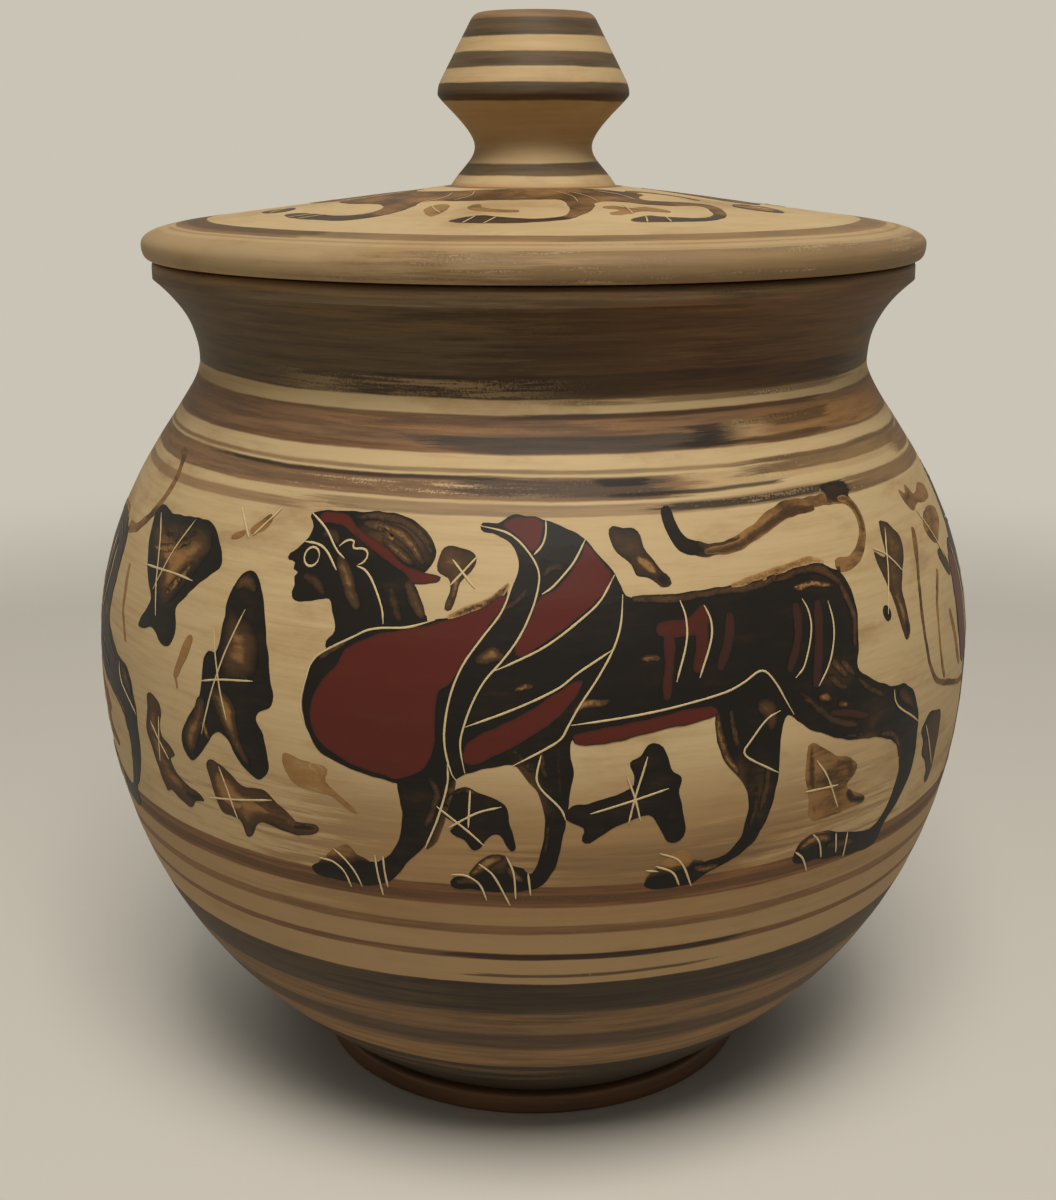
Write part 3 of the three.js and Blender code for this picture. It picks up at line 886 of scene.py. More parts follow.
JAR_BANDS = [
    # Neck and lip
    Band(139, 158, "dark", 0.04, 0.3, 0.9),
    Band(139.6, 155, "umber", 0.3, 0.5, 0.7, 0.15, 0.3, 0.3),
    Band(139.6, 155, "russet", 0.34, 0.5, 0.5, 0.6, 0.4, 0.3),
    Band(141.5, 155, "brown", 0.5, 0.6, 0.6, 1.05, 0.4, 0.25),
    Band(139, 142.8, "black", 0.22, 0.5, 0.45, 0.3, 0.7, 0.3),
    Band(138.9, 142.2, "cream_worn", 0.68, 0.5, 0.32, -0.34, 0.42, 0.2),
    Band(149, 153.6, "brown", 0.7, 0.5, 0.5, -0.3, 0.6, 0.3),
    # A pale line round the lip: a painted highlight where the lip's edge catches the light
    Band(155.2, 156.3, "wash", 0.5, 0.3, 0.3),
    Band(155.6, 159, "stain", 0.3, 0.3, 0.5, -1.2, 0.7, 0.4),
    # Shoulder
    Band(138, 139.3, "brown", 0.4, 0.3, 0.7, 0.55, 0.4, 0.2),
    Band(130.8, 136.7, "mauve", 0.08, 0.3, 0.95),
    Band(131.4, 135.7, "wash", 0.24, 0.6, 0.74, 0.98, 0.4, 0.25),
    Band(134.2, 136.2, "wash", 0.66, 0.5, 0.4, -0.15, 0.5, 0.2),
    Band(131, 133.5, "slate", 0.3, 0.4, 0.85, 0.12, 0.4, 0.16),
    Band(130.8, 131.8, "russet", 0.42, 0.3, 0.5, -0.55, 0.4, 0.2),
    Band(136, 136.8, "umber", 0.2, 0.2, 0.85, 0.42, 0.42, 0.1),
    Band(131.2, 134.5, "black", 0.3, 0.5, 0.75, 0.46, 0.08, 0.08),
    Band(130.8, 132, "umber", 0.3, 0.4, 0.8, 0.66, 0.14, 0.1),
    Band(131.9, 134.6, "cream_worn", 0.5, 0.7, 0.55, 0.57, 0.07, 0.1),
    Band(133.2, 135.1, "umber", 0.5, 0.4, 0.75, 0.76, 0.12, 0.06),
    Band(128.1, 128.7, "brown", 0.35, 0.3, 0.7),
    Band(124.4, 127.7, "mauve", 0.16, 0.35, 0.92),
    Band(124.3, 127.9, "cream", 0.3, 0.4, 0.92, 0.75, 0.4, 0.08),
    Band(125.4, 127.6, "wash", 0.5, 0.5, 0.3, 0.75, 0.42, 0.1),
    Band(126.4, 128.9, "brown", 0.34, 0.45, 0.8, 0.92, 0.36, 0.2),
    Band(125, 126.8, "cream", 0.78, 0.4, 0.75, -0.25, 0.35, 0.1),
    Band(125, 127.3, "slate", 0.46, 0.4, 0.75, 0.06, 0.24, 0.12),
    Band(127.1, 127.7, "black", 0.3, 0.3, 0.8, -0.45, 0.38, 0.14),
    Band(126.4, 127.5, "black", 0.1, 0.3, 0.85, 0.2, 0.05, 0.03),
    Band(124.8, 125.4, "black", 0.34, 0.25, 0.85, 0.4, 0.22, 0.05),
    Band(121.4, 122.9, "russet", 0.2, 0.3, 0.62, -2.6, 2.15, 0.2),
    Band(122.2, 123.9, "mauve", 0.25, 0.35, 0.6, 0.15, 0.66, 0.2),
    Band(122.5, 123.6, "black", 0.42, 0.25, 0.85, 0.54, 0.27, 0.08),
    Band(121.4, 123.9, "brown", 0.34, 0.3, 0.85, 1.12, 0.32, 0.08),
    Band(121.4, 123.7, "black", 0.05, 0.25, 0.92, 0.77, 0.03, 0.02),
    # Ground line and the thin lines under it
    # Darker towards the ground line at the front: stain, and partly painted shade of the lower frieze
    Band(58, 81, "stain", 0, 1, 0.8, 0.08, 0.6, 0.35, 8),
    Band(64.6, 72.6, "brown", 0.06, 0.6, 0.46, 0.22, 0.24, 0.16, 2.6),
    Band(44.8, 61.4, "stain", 0.3, 0.5, 0.58),
    Band(61.3, 65.2, "russet", 0.16, 0.35, 0.9),
    Band(62, 63.6, "umber", 0.5, 0.35, 0.6),
    Band(55.9, 57.6, "russet", 0.2, 0.35, 0.72),
    Band(50.5, 51.8, "russet", 0.18, 0.3, 0.88),
    Band(50.5, 51.7, "black", 0.2, 0.2, 0.8, 0.14, 0.28, 0.1),
    Band(46.7, 47.4, "umber", 0.3, 0.3, 0.8, 0.1, 0.24, 0.08),
    # Broad bands towards the foot
    Band(19.5, 45, "brown", 0.06, 0.4, 0.95),
    Band(37.6, 45, "dark", 0.2, 0.4, 0.95),
    Band(38.4, 45, "black", 0.3, 0.5, 0.42, 0.2, 0.5, 0.3),
    Band(27.2, 31.6, "dark", 0.36, 0.5, 0.78, softness=0.7),
    Band(31.6, 37.2, "stain", 0.5, 0.6, 0.22, softness=0.7),
    Band(20, 26.4, "stain", 0.3, 0.5, 0.5, softness=0.7),
    Band(4, 19.6, "black", 0.08, 0.45, 0.94),
    Band(13, 18.4, "wash", 0.66, 0.5, 0.24, -0.3, 0.5, 0.2),
]

KNOB_BANDS = [
    Band(171.7, 200, "stain", 0.1, 0.3, 0.16),
    Band(175.6, 184.6, "stain", 0.1, 0.3, 0.04),
    Band(171.7, 173.9, "dark", 0.26, 0.3, 0.9),
    Band(184.8, 187.9, "dark", 0.12, 0.3, 0.94),
    Band(190.4, 193.1, "dark", 0.16, 0.35, 0.92),
    Band(196, 199.2, "dark", 0.14, 0.3, 0.93),
    Band(199.1, 203, "mauve", 0.2, 0.3, 0.85),
]

# Bands of the lid's top go by radius
LID_BANDS = [
    Band(15, 16.9, "brown", 0.3, 0.25, 0.8),
    Band(17, 66, "stain", 0.5, 0.8, 0.04),
    Band(60.4, 65.2, "brown", 0.22, 0.5, 0.82),
    Band(60.4, 66, "umber", 0.24, 0.4, 0.8, -1.22, 0.64, 0.06),
    # Over the lid's rounded edge: brown streaks and greying, and partly painted shade of its lower side
    Band(64, 80, "stain", 0.22, 0.5, 0.38),
    Band(66.8, 67.6, "brown", 0.5, 0.3, 0.4),
    Band(69, 80, "slate", 0.3, 0.6, 0.18),
    Band(70, 80, "brown", 0.44, 0.5, 0.55, 0.6, 0.8, 0.5),
]


def brushed_on(tree, base, bands, place, angle, streaks):
    """Bands over a ground colour: the colour, and how much of it shows the strokes of a brush."""
    shared = {"Place": place, "Angle": angle, "Streaks": streaks["Lines"], "Sway": streaks["Sway"],
              "Grain": streaks["Grain"]}
    covered = 0.0
    for band in bands:
        own = {"Low": band.low * MM, "High": band.high * MM, "Waver": band.waver * MM,
               "Softness": band.softness * MM, "Dryness": band.dryness, "Middle": band.middle,
               "Half Turn": band.half_turn, "Fade": band.fade}
        mask = effect(tree, "Brushed band", {**shared, **own})[0]
        share = times(tree, mask, band.strength)
        base = mix(tree, share, base, shade(band.slip))
        if band.slip == "cream":
            covered = times(tree, covered, left_over(tree, share))
        else:
            marked = times(tree, share, STAIN_STROKES) if band.slip == "stain" else share
            covered = calc(tree, "MAXIMUM", covered, marked)
    return base, covered


# Where the cream ground lies thin and is smudged, and how strokes and clouds shade what is on it
WORN_LINES = 0.55
WORN_CLOUDS = 0.45
WORN_RANGE = (0.42, 0.72)
SMUDGE_RANGE = (0.5, 0.74)
SMUDGE_STRENGTH = 0.62
STROKE_RANGE = (0.3, 0.7)
STROKE_DARK = (0.6, 0.6, 0.62, 1.0)
STROKE_PALE = (1.42, 1.4, 1.36, 1.0)
CLOUD_DARK = (0.84, 0.83, 0.82, 1.0)
CLOUD_PALE = (1.14, 1.14, 1.14, 1.0)
BARE_RANGE = (0.35, 0.7)
PAINTED_SHEEN = 0.26


def painted_clay(name, bands, by_radius=False):
    """Cream ground with brushed bands outside, bare clay where the section says so."""
    material, tree, shader = new_finish(name)
    streaks = effect(tree, "Wheel streaks")
    x, y, z = own_place(tree)
    place = from_axis(tree, x, y) if by_radius else z
    angle = calc(tree, "ARCTAN2", x, times(tree, y, -1.0))
    cloudy = weighed(tree, (streaks["Lines"], WORN_LINES), (streaks["Clouds"], WORN_CLOUDS))
    base = mix(tree, ramp(tree, cloudy, *WORN_RANGE), shade("cream"), shade("cream_worn"))
    smudge = times(tree, ramp(tree, streaks["Stains"], *SMUDGE_RANGE), SMUDGE_STRENGTH)
    base = mix(tree, smudge, base, shade("stain"))
    base, covered = brushed_on(tree, base, bands, place, angle, streaks)
    brushed = mix(tree, ramp(tree, streaks["Lines"], *STROKE_RANGE), STROKE_DARK, STROKE_PALE)
    clouded = mix(tree, streaks["Clouds"], CLOUD_DARK, CLOUD_PALE)
    base = mix(tree, 1.0, base, mix(tree, covered, clouded, brushed), "MULTIPLY")
    bare = add(tree, "ShaderNodeAttribute", attribute_name="bare").outputs["Fac"]
    clay = mix(tree, ramp(tree, streaks["Lines"], *BARE_RANGE), shade("bare"), shade("cream_worn"))
    shader.inputs["Specular IOR Level"].default_value = PAINTED_SHEEN
    feed_thrown(tree, shader, mix(tree, bare, base, clay), streaks, PAINTED_SURFACE)
    return material


# Between which streak values plain clay goes from its first colour to its second
PLAIN_RANGE = (0.38, 0.66)


def plain_clay(name, first, second):
    """One clay or slip with wheel marks and no bands."""
    material, tree, shader = new_finish(name)
    streaks = effect(tree, "Wheel streaks")
    cloudy = weighed(tree, (streaks["Lines"], 0.5), (streaks["Clouds"], 0.5))
    base = mix(tree, ramp(tree, cloudy, *PLAIN_RANGE), shade(first), shade(second))
    feed_thrown(tree, shader, base, streaks, PLAIN_SURFACE)
    return material


# Slip: its roughness, what its body takes off it, the relief of its grain, its depth and its sheen
SLIP_ROUGHNESS = 0.6
BODY_SMOOTHNESS = -0.1
SLIP_GRAIN = 0.4
SLIP_DEPTH = 0.05
SLIP_SHEEN = 0.2


def slip_finish(name, full):
    """Slip whose thinness is drawn into the piece."""
    material, tree, shader = new_finish(name)
    thinness = add(tree, "ShaderNodeAttribute", attribute_name="thinness").outputs["Fac"]
    inputs = {"Thinness": thinness, "Below": shade("rubbed"), "Full": shade(full), "Thin": shade("umber"),
              "Wash": shade("wash"), "Ground": shade("cream_worn")}
    slip = effect(tree, "Thinned slip", inputs)
    streaks = effect(tree, "Wheel streaks")
    rough = calc(tree, "MULTIPLY_ADD", slip["Body"], BODY_SMOOTHNESS, SLIP_ROUGHNESS)
    relief = calc(tree, "MULTIPLY_ADD", streaks["Grain"], SLIP_GRAIN, slip["Body"])
    shader.inputs["Specular IOR Level"].default_value = SLIP_SHEEN
    feed(tree, shader, slip["Color"], rough, relief, SLIP_DEPTH)
    return material


FINISHES = {
    "painted_jar_clay": (painted_clay, JAR_BANDS),
    "painted_lid_clay": (painted_clay, LID_BANDS, True),
    "painted_knob_clay": (painted_clay, KNOB_BANDS),
    "foot_slip": (plain_clay, "foot", "umber"),
    "bare_clay": (plain_clay, "bare", "cream_worn"),
    "scratched_clay": (plain_clay, "scratch", "cream"),
    "black_slip": (slip_finish, "black"),
    "red_slip": (slip_finish, "red"),
}


def finish_named(name):
    """A material, made when it is first asked for."""
    maker, *values = FINISHES[name]
    return bpy.data.materials.get(name) or maker(name, *values)


# Drawing: outlines and lines are points (arc, height) in millimetres, arc to the right of the front

Ornament = namedtuple("Ornament", "thinness outline scratches marks", defaults=((),))
Figure = namedtuple("Figure", "arc stretch lean drift seed")
ThinSpot = namedtuple("ThinSpot", "arc height half_width half_height strength")


def tangents(points, closed):
    """Direction of a smooth line at each of its points."""
    last = len(points) - 1
    found = []
    for i, point in enumerate(points):
        before = points[i - 1] if closed or i > 0 else point
        after = points[(i + 1) % len(points)] if closed or i < last else point
        way = Vector(after) - Vector(before)
        found.append(way.normalized() if way.length else Vector((0.0, 0.0)))
    return found


def smooth_line(points, closed=False, step=OUTLINE_STEP):
    """Evenly stepped points of a smooth line through a few drawn ones."""
    ways = tangents(points, closed)
    made = []
    for i in range(len(points) if closed else len(points) - 1):
        j = (i + 1) % len(points)
        start, end = Vector(points[i]), Vector(points[j])
        run = (end - start).length
        steps = max(2, round(run / step))
        curve = interpolate_bezier(start, start + ways[i] * run / 3, end - ways[j] * run / 3, end, steps + 1)
        made += [tuple(point)[:2] for point in curve[:-1]]
    if not closed:
        made.append(tuple(points[-1]))
    return made


def ribbon(points, widths):
    """Outline of a brush stroke along a line, whose width changes from point to point."""
    ways = tangents(points, False)
    left, right = [], []
    for point, way, width in zip(points, ways, widths):
        side = Vector((-way.y, way.x)) * width / 2
        left.append(tuple(Vector(point) + side))
        right.append(tuple(Vector(point) - side))
    return left + right[::-1]


def mark(thinness, width, *points):
    """A stroke of thinner slip that is narrower at its ends; on a figure's dark slip some strokes are
    painted sheen.
    """
    ends = (0, len(points) - 1)
    widths = [width * (MARK_END if i in ends else 1) for i in range(len(points))]
    return thinness, ribbon(points, widths)


def placed(points, figure):
    """A drawing as another turn of the hand at it, where a figure stands."""
    moved = []
    for x, y in points:
        spot = Vector((x / DRIFT_LENGTH, y / DRIFT_LENGTH, figure.seed * SEED_STEP))
        sway = noise.noise_vector(spot) * figure.drift
        rise = y - GROUND_LINE
        moved.append((figure.arc + x * figure.stretch + rise * figure.lean + sway.x,
                      GROUND_LINE + rise * figure.stretch + sway.y))
    return moved


def inside(outline, x, y):
    """Whether a point lies in a closed outline."""
    crossings = 0
    for (x0, y0), (x1, y1) in zip(outline, outline[1:] + outline[:1]):
        if (y0 > y) != (y1 > y) and x < x0 + (y - y0) / (y1 - y0) * (x1 - x0):
            crossings += 1
    return crossings % 2 == 1


def anticlockwise(outline):
    """An outline that runs anticlockwise."""
    doubled = sum(x0 * y1 - x1 * y0 for (x0, y0), (x1, y1) in zip(outline, outline[1:] + outline[:1]))
    return outline if doubled > 0 else outline[::-1]


def unsteady(outline):
    """An outline as a hand leaves it, the same wherever two outlines share an edge."""
    moved = []
    for x, y in outline:
        spot = Vector((x / HAND_LENGTH, y / HAND_LENGTH, HAND_SEED))
        sway = noise.noise_vector(spot) * HAND_WAVER
        moved.append((x + sway.x, y + sway.y))
    return moved


def filled(shapes, seed, step=FILL_STEP, pooled=False, under=None, soft=0.0):
    """Even triangles over a group of outlines, and how thin the slip lies at each point.

    Slip may pool along the outlines, or run there into the slip under it, over a share of its width.
    """
    hand = random.Random(seed)
    loops = [anticlockwise(unsteady(smooth_line(outline, closed=True))) for _, outline in shapes]
    points, faces = [], []
    for loop in loops:
        faces.append(list(range(len(points), len(points) + len(loop))))
        points += loop
    low_x, high_x = min(x for x, _ in points), max(x for x, _ in points)
    low_y, high_y = min(y for _, y in points), max(y for _, y in points)
    edge = [point for k, loop in enumerate(loops) for point in loop
            if not any(inside(other, *point) for other in loops[:k] + loops[k + 1:])]
    for i in range(int((high_x - low_x) / step) + 1):
        for j in range(int((high_y - low_y) / step) + 1):
            x = low_x + (i + hand.uniform(-FILL_JITTER, FILL_JITTER)) * step
            y = low_y + (j + hand.uniform(-FILL_JITTER, FILL_JITTER)) * step
            if any(inside(loop, x, y) for loop in loops):
                points.append((x, y))
    corners, _, triangles, _, _, owners = delaunay_2d_cdt(
        [Vector(point) for point in points], [], faces, 1, CDT_EPSILON)
    thinness = [1.0] * len(corners)
    for triangle, shape_ids in zip(triangles, owners):
        fullest = min((shapes[k][0] for k in shape_ids), default=1.0)
        for corner in triangle:
            thinness[corner] = min(thinness[corner], fullest)
    pooled = pooled and shapes[0][0] < POOL_LIMIT
    if not pooled and under is None:
        return [tuple(corner) for corner in corners], triangles, thinness
    away = [min(math.hypot(x - u, y - v) for u, v in edge) for x, y in corners]
    run = POOL_WIDTH if pooled else max(MARK_EDGE, max(away) * soft)
    for i, distance in enumerate(away):
        share = min(distance / run, 1.0)
        if pooled:
            thinness[i] *= POOL_EDGE + (POOL_MIDDLE - POOL_EDGE) * share
        else:
            thinness[i] = under + (thinness[i] - under) * share
    return [tuple(corner) for corner in corners], triangles, thinness


def flat_slip(name, layers, lift, sink):
    """A flat closed sheet of slip for each filled layer, in one object."""
    vertices, faces, marks = [], [], []
    for corners, triangles, thinness in layers:
        top = len(vertices)
        under = top + len(corners)
        vertices += [(x * MM, y * MM, lift) for x, y in corners]
        vertices += [(x * MM, y * MM, -sink) for x, y in corners]
        marks += thinness * 2
        seen = {}
        for a, b, c in triangles:
            faces.append((top + a, top + b, top + c))
            faces.append((under + c, under + b, under + a))
            for edge in ((a, b), (b, c), (c, a)):
                seen[edge] = True
        for a, b in seen:
            if (b, a) not in seen:
                faces.append((top + b, top + a, under + a, under + b))
    mesh = bpy.data.meshes.new(name)
    mesh.from_pydata(vertices, [], faces)
    attribute = mesh.attributes.new("thinness", "FLOAT", "POINT")
    attribute.data.foreach_set("value", marks)
    return put(name, mesh)


def drawn_lines(name, lines):
    """Smooth lines as one curve object."""
    curve = bpy.data.curves.new(name, "CURVE")
    curve.dimensions = "3D"
    for line in lines:
        points = smooth_line(line)
        spline = curve.splines.new("POLY")
        spline.points.add(len(points) - 1)
        for point, (x, y) in zip(spline.points, points):
            point.co = (x * MM, y * MM, 0.0, 1.0)
    return put(name, curve)


Ground = namedtuple("Ground", "clay body arc_radius reach from_above")


def lay(name, drawing, tree_name, ground, finish, values):
    """Lays a drawing on a piece of clay, as one piece."""
    values = {"Clay": bpy.data.objects[ground.clay], "Arc Radius": ground.arc_radius,
              "Reach": ground.reach, "From Above": ground.from_above, "Slip": finish_named(finish), **values}
    piece = shaped(drawing, tree_name, name, values)
    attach(piece, ground.body)


def lay_slip(name, layers, finish, lift, ground):
    """Lays sheets of slip on a piece of clay."""
    flat = flat_slip(name + "_drawing", layers, lift, paint().slip_sink)
    lay(name, flat, "Laid on the clay", ground, finish, {})


def lay_lines(name, lines, ground, width=1.0):
    """Scratches lines into the slip on a piece of clay."""
    values = {"Width": paint().scratch_width * width, "Lift": paint().scratch_lift}
    lay(name, drawn_lines(name + "_drawing", lines), "Scratched line", ground, "scratched_clay", values)


# The winged lion with a human head, facing left, as it stands at the front

GROUND_LINE = 64.0

HEAD = [
    (-42.2, 120.9), (-36.9, 121.9), (-32.4, 122.1), (-28.7, 122.3), (-25, 122.1), (-22.1, 121.5),
    (-19.9, 120.4), (-18, 118.9), (-16.9, 117.2), (-17.1, 115.9), (-18.6, 114.2), (-20.4, 112),
    (-19.7, 110.7), (-18, 108.7), (-17.3, 107.4), (-20.6, 106.3), (-25, 105.9), (-29.5, 104.3),
    (-33.9, 102), (-34.3, 103.1), (-33, 104.8), (-33.2, 106.1), (-34.1, 107.6), (-34.9, 109.3),
    (-36.2, 109.1), (-40, 108.4), (-41.9, 108.5), (-42.4, 109.6), (-42, 110.7), (-42.4, 111.8),
    (-41.9, 112.4), (-43, 113), (-43, 114), (-44.8, 114.5), (-43.2, 115.9), (-41.5, 117.6),
    (-41.2, 119.4),
]

CHEST = [
    (-33.9, 102), (-35.8, 100.7), (-36.9, 98.7), (-37.6, 95.7), (-37.8, 93.5), (-37.4, 90.4),
    (-36.5, 88.4), (-35, 86.3), (-33.2, 85.2), (-30.6, 84.1), (-27.6, 83.3), (-25, 82.8), (-21, 82.3),
    (-13.4, 83), (-13.8, 92.4), (-12, 99.1), (-10.3, 103), (-6.8, 107.2), (-4.4, 112.2), (-6.6, 110.6),
    (-9.2, 109.4), (-14, 108), (-16.1, 107.6), (-20.6, 106.3), (-25, 105.9), (-29.5, 104.3),
]

FRONT_LEG = [
    (-21, 84.3), (-20.8, 76.7), (-21.1, 74.1), (-22.1, 71.5), (-23.6, 69.3), (-25.4, 68.2), (-27.6, 67.8),
    (-30, 66.8), (-33, 66.4), (-36.1, 66.1), (-37.8, 65.2), (-37.3, 63.9), (-30.2, 63.4), (-27.3, 63.4),
    (-23.9, 64.5), (-22.8, 65.4), (-21.3, 67.4), (-19.9, 69.3), (-18, 71.1), (-16.9, 73), (-15.4, 76.3),
    (-14.7, 78.9), (-13.4, 82.3), (-15, 86),
]

WING_AND_BODY = [
    (-9.6, 121), (-6.6, 121.5), (-4.7, 122.4), (-2.9, 122.7), (0.8, 122.2), (4.5, 121.1), (8.6, 119.3),
    (10.4, 117.6), (12.3, 115.7), (13.4, 114.3), (14.3, 112.4), (14.9, 111.1), (20, 110.7), (30, 111.1),
    (37.8, 111.2), (44.1, 112.4), (47.8, 113), (51.5, 113), (55.6, 111.5), (57.3, 110.9), (58.5, 109),
    (59.2, 106.5), (59.2, 103.9), (58.3, 99.1), (57.6, 95.6), (60.4, 93.5), (64.1, 91.5), (66.7, 90.6),
    (70, 90.2), (71.9, 89.3), (73.7, 87.8), (74.6, 85.6), (75.6, 83), (75.6, 75.2), (74.8, 72.6),
    (72.2, 68.6), (68.5, 65.2), (66.7, 61.7), (61.1, 61.7), (54.8, 62.6), (50, 63.4), (46.7, 63.4),
    (45.2, 64.5), (46.3, 67.4), (48.1, 68.4), (50.7, 68.7), (57.4, 66.7), (63.3, 65.4), (65.6, 65.8),
    (67, 66.7), (68.5, 68.9), (70, 73), (70.2, 75.2), (69.3, 79.3), (68.1, 80.2), (66.3, 81.3),
    (61.1, 83), (54.4, 84.1), (49.6, 86.1), (46.7, 87.3), (44.4, 88.9), (41.9, 90.6), (41.1, 89.5),
    (40.4, 85.6), (40.4, 81.9), (39.6, 76.7), (38.1, 72.3), (36.7, 70), (34.8, 68.4), (32.2, 67.1),
    (28.1, 65.4), (25.9, 63.9), (19, 63.8), (17.8, 64.6), (18.3, 65.6), (20.5, 66.1), (23.5, 66.6),
    (26, 67.4), (28.5, 67.8), (30.7, 68.1), (32.2, 68.9), (33.5, 70.2), (34.3, 71.9), (35, 76.3),
    (34.4, 79.5), (31.9, 83), (29.8, 87.4), (28.9, 92.1), (20, 92.2), (6.2, 90.4), (6, 84.9), (5.1, 78.9),
    (4.5, 74.5), (3.8, 70.8), (3, 68.2), (0.6, 65.2), (-2.9, 64.3), (-10.3, 64.5), (-13.4, 64.9),
    (-12.9, 66.5), (-10.3, 67.1), (-9.2, 68.6), (-7.7, 70.4), (-6.2, 71.1), (-4.7, 70.8), (-3.6, 69.3),
    (-1.8, 68.6), (-0.5, 67.6), (0.8, 70.4), (1.6, 75.2), (1.4, 78.2), (1, 80.4), (0.1, 82.3),
    (-1.4, 84.1), (-3.3, 86.1), (-10.7, 84.5), (-13.4, 83.5), (-13.8, 88.6), (-13.8, 92.4), (-12.9, 97.2),
    (-10.3, 103), (-6.8, 107.2), (-4.2, 111.3), (-2.7, 115), (-3.1, 117.6), (-4.4, 118.9), (-6.6, 119.8),
]

TAIL_TIP = ribbon([(23.9, 123), (24.4, 121), (25.2, 119), (26.6, 117.6), (28.6, 117)],
                  [1.6, 2.4, 2.5, 2.3, 1.7])
TAIL = ribbon(
    [(57, 111.7), (61.5, 111.9), (65.6, 114.3), (67.4, 117.6), (66.1, 120.6), (62.2, 121.4), (56, 121.5),
     (49.6, 121.3), (45.9, 120.5), (42.2, 119.2), (38.5, 117.9), (32.6, 116.7), (28, 117)],
    [1.6, 1.8, 1.9, 1.8, 1.9, 1.7, 1.6, 1.9, 2, 1.9, 1.7, 1.6, 1.8])
TAIL_SHADE = ribbon([(28, 117.1), (31, 116.8), (34, 116.9), (37, 117.3)], [1.8, 1.7, 1.6, 1])
TAIL_JOIN = [
    (59.8, 123.3), (60.6, 122.1), (62.4, 121.1), (65.6, 120.8), (67.2, 121.6), (67.7, 123), (66.4, 123.5),
    (63, 123.5),
]

FRONT_TOES = [
    (-26.8, 67.6), (-28.4, 68.6), (-29.1, 68.9), (-29.9, 70), (-31.1, 70.4), (-32.4, 69.7), (-33.9, 68.6),
    (-36.1, 66.5), (-36.4, 65.6), (-33, 65.6), (-30, 66), (-28, 66.6),
]
HIND_TOES = [
    (18, 65), (18.3, 66.3), (19.8, 67.6), (21.5, 69.3), (23.5, 70.2), (25, 69.8), (26, 68.6),
    (27.8, 67.9), (26, 66.6), (23.5, 65.8), (20.5, 65.3),
]
LEG_SMEAR = [(-17.3, 71.5), (-15.4, 72.8), (-13.6, 78), (-12.2, 83), (-13.4, 85), (-15.8, 80)]

RAISED_TAIL = ribbon(
    [(57, 111.7), (61.5, 112), (66, 114.2), (69, 117), (70.5, 120), (70.5, 122.5), (69, 125),
     (66, 126)], [1.6, 1.6, 1.7, 1.7, 1.7, 1.6, 1.4, 0.8])

FIGURE_SLIP = [(0.02, HEAD), (0.06, CHEST), (0.12, FRONT_LEG), (0.08, WING_AND_BODY), (0.62, LEG_SMEAR),
               (0.74, FRONT_TOES), (0.8, HIND_TOES)]
FIRST_TAIL = [(0.1, TAIL_TIP), (0.36, TAIL_SHADE), (0.82, TAIL), (0.2, TAIL_JOIN)]
OTHER_TAIL = [(0.74, RAISED_TAIL)]
BODY_THINNESS = 0.12
TAIL_THINNESS = 0.8
SMEAR_THINNESS = 1.5
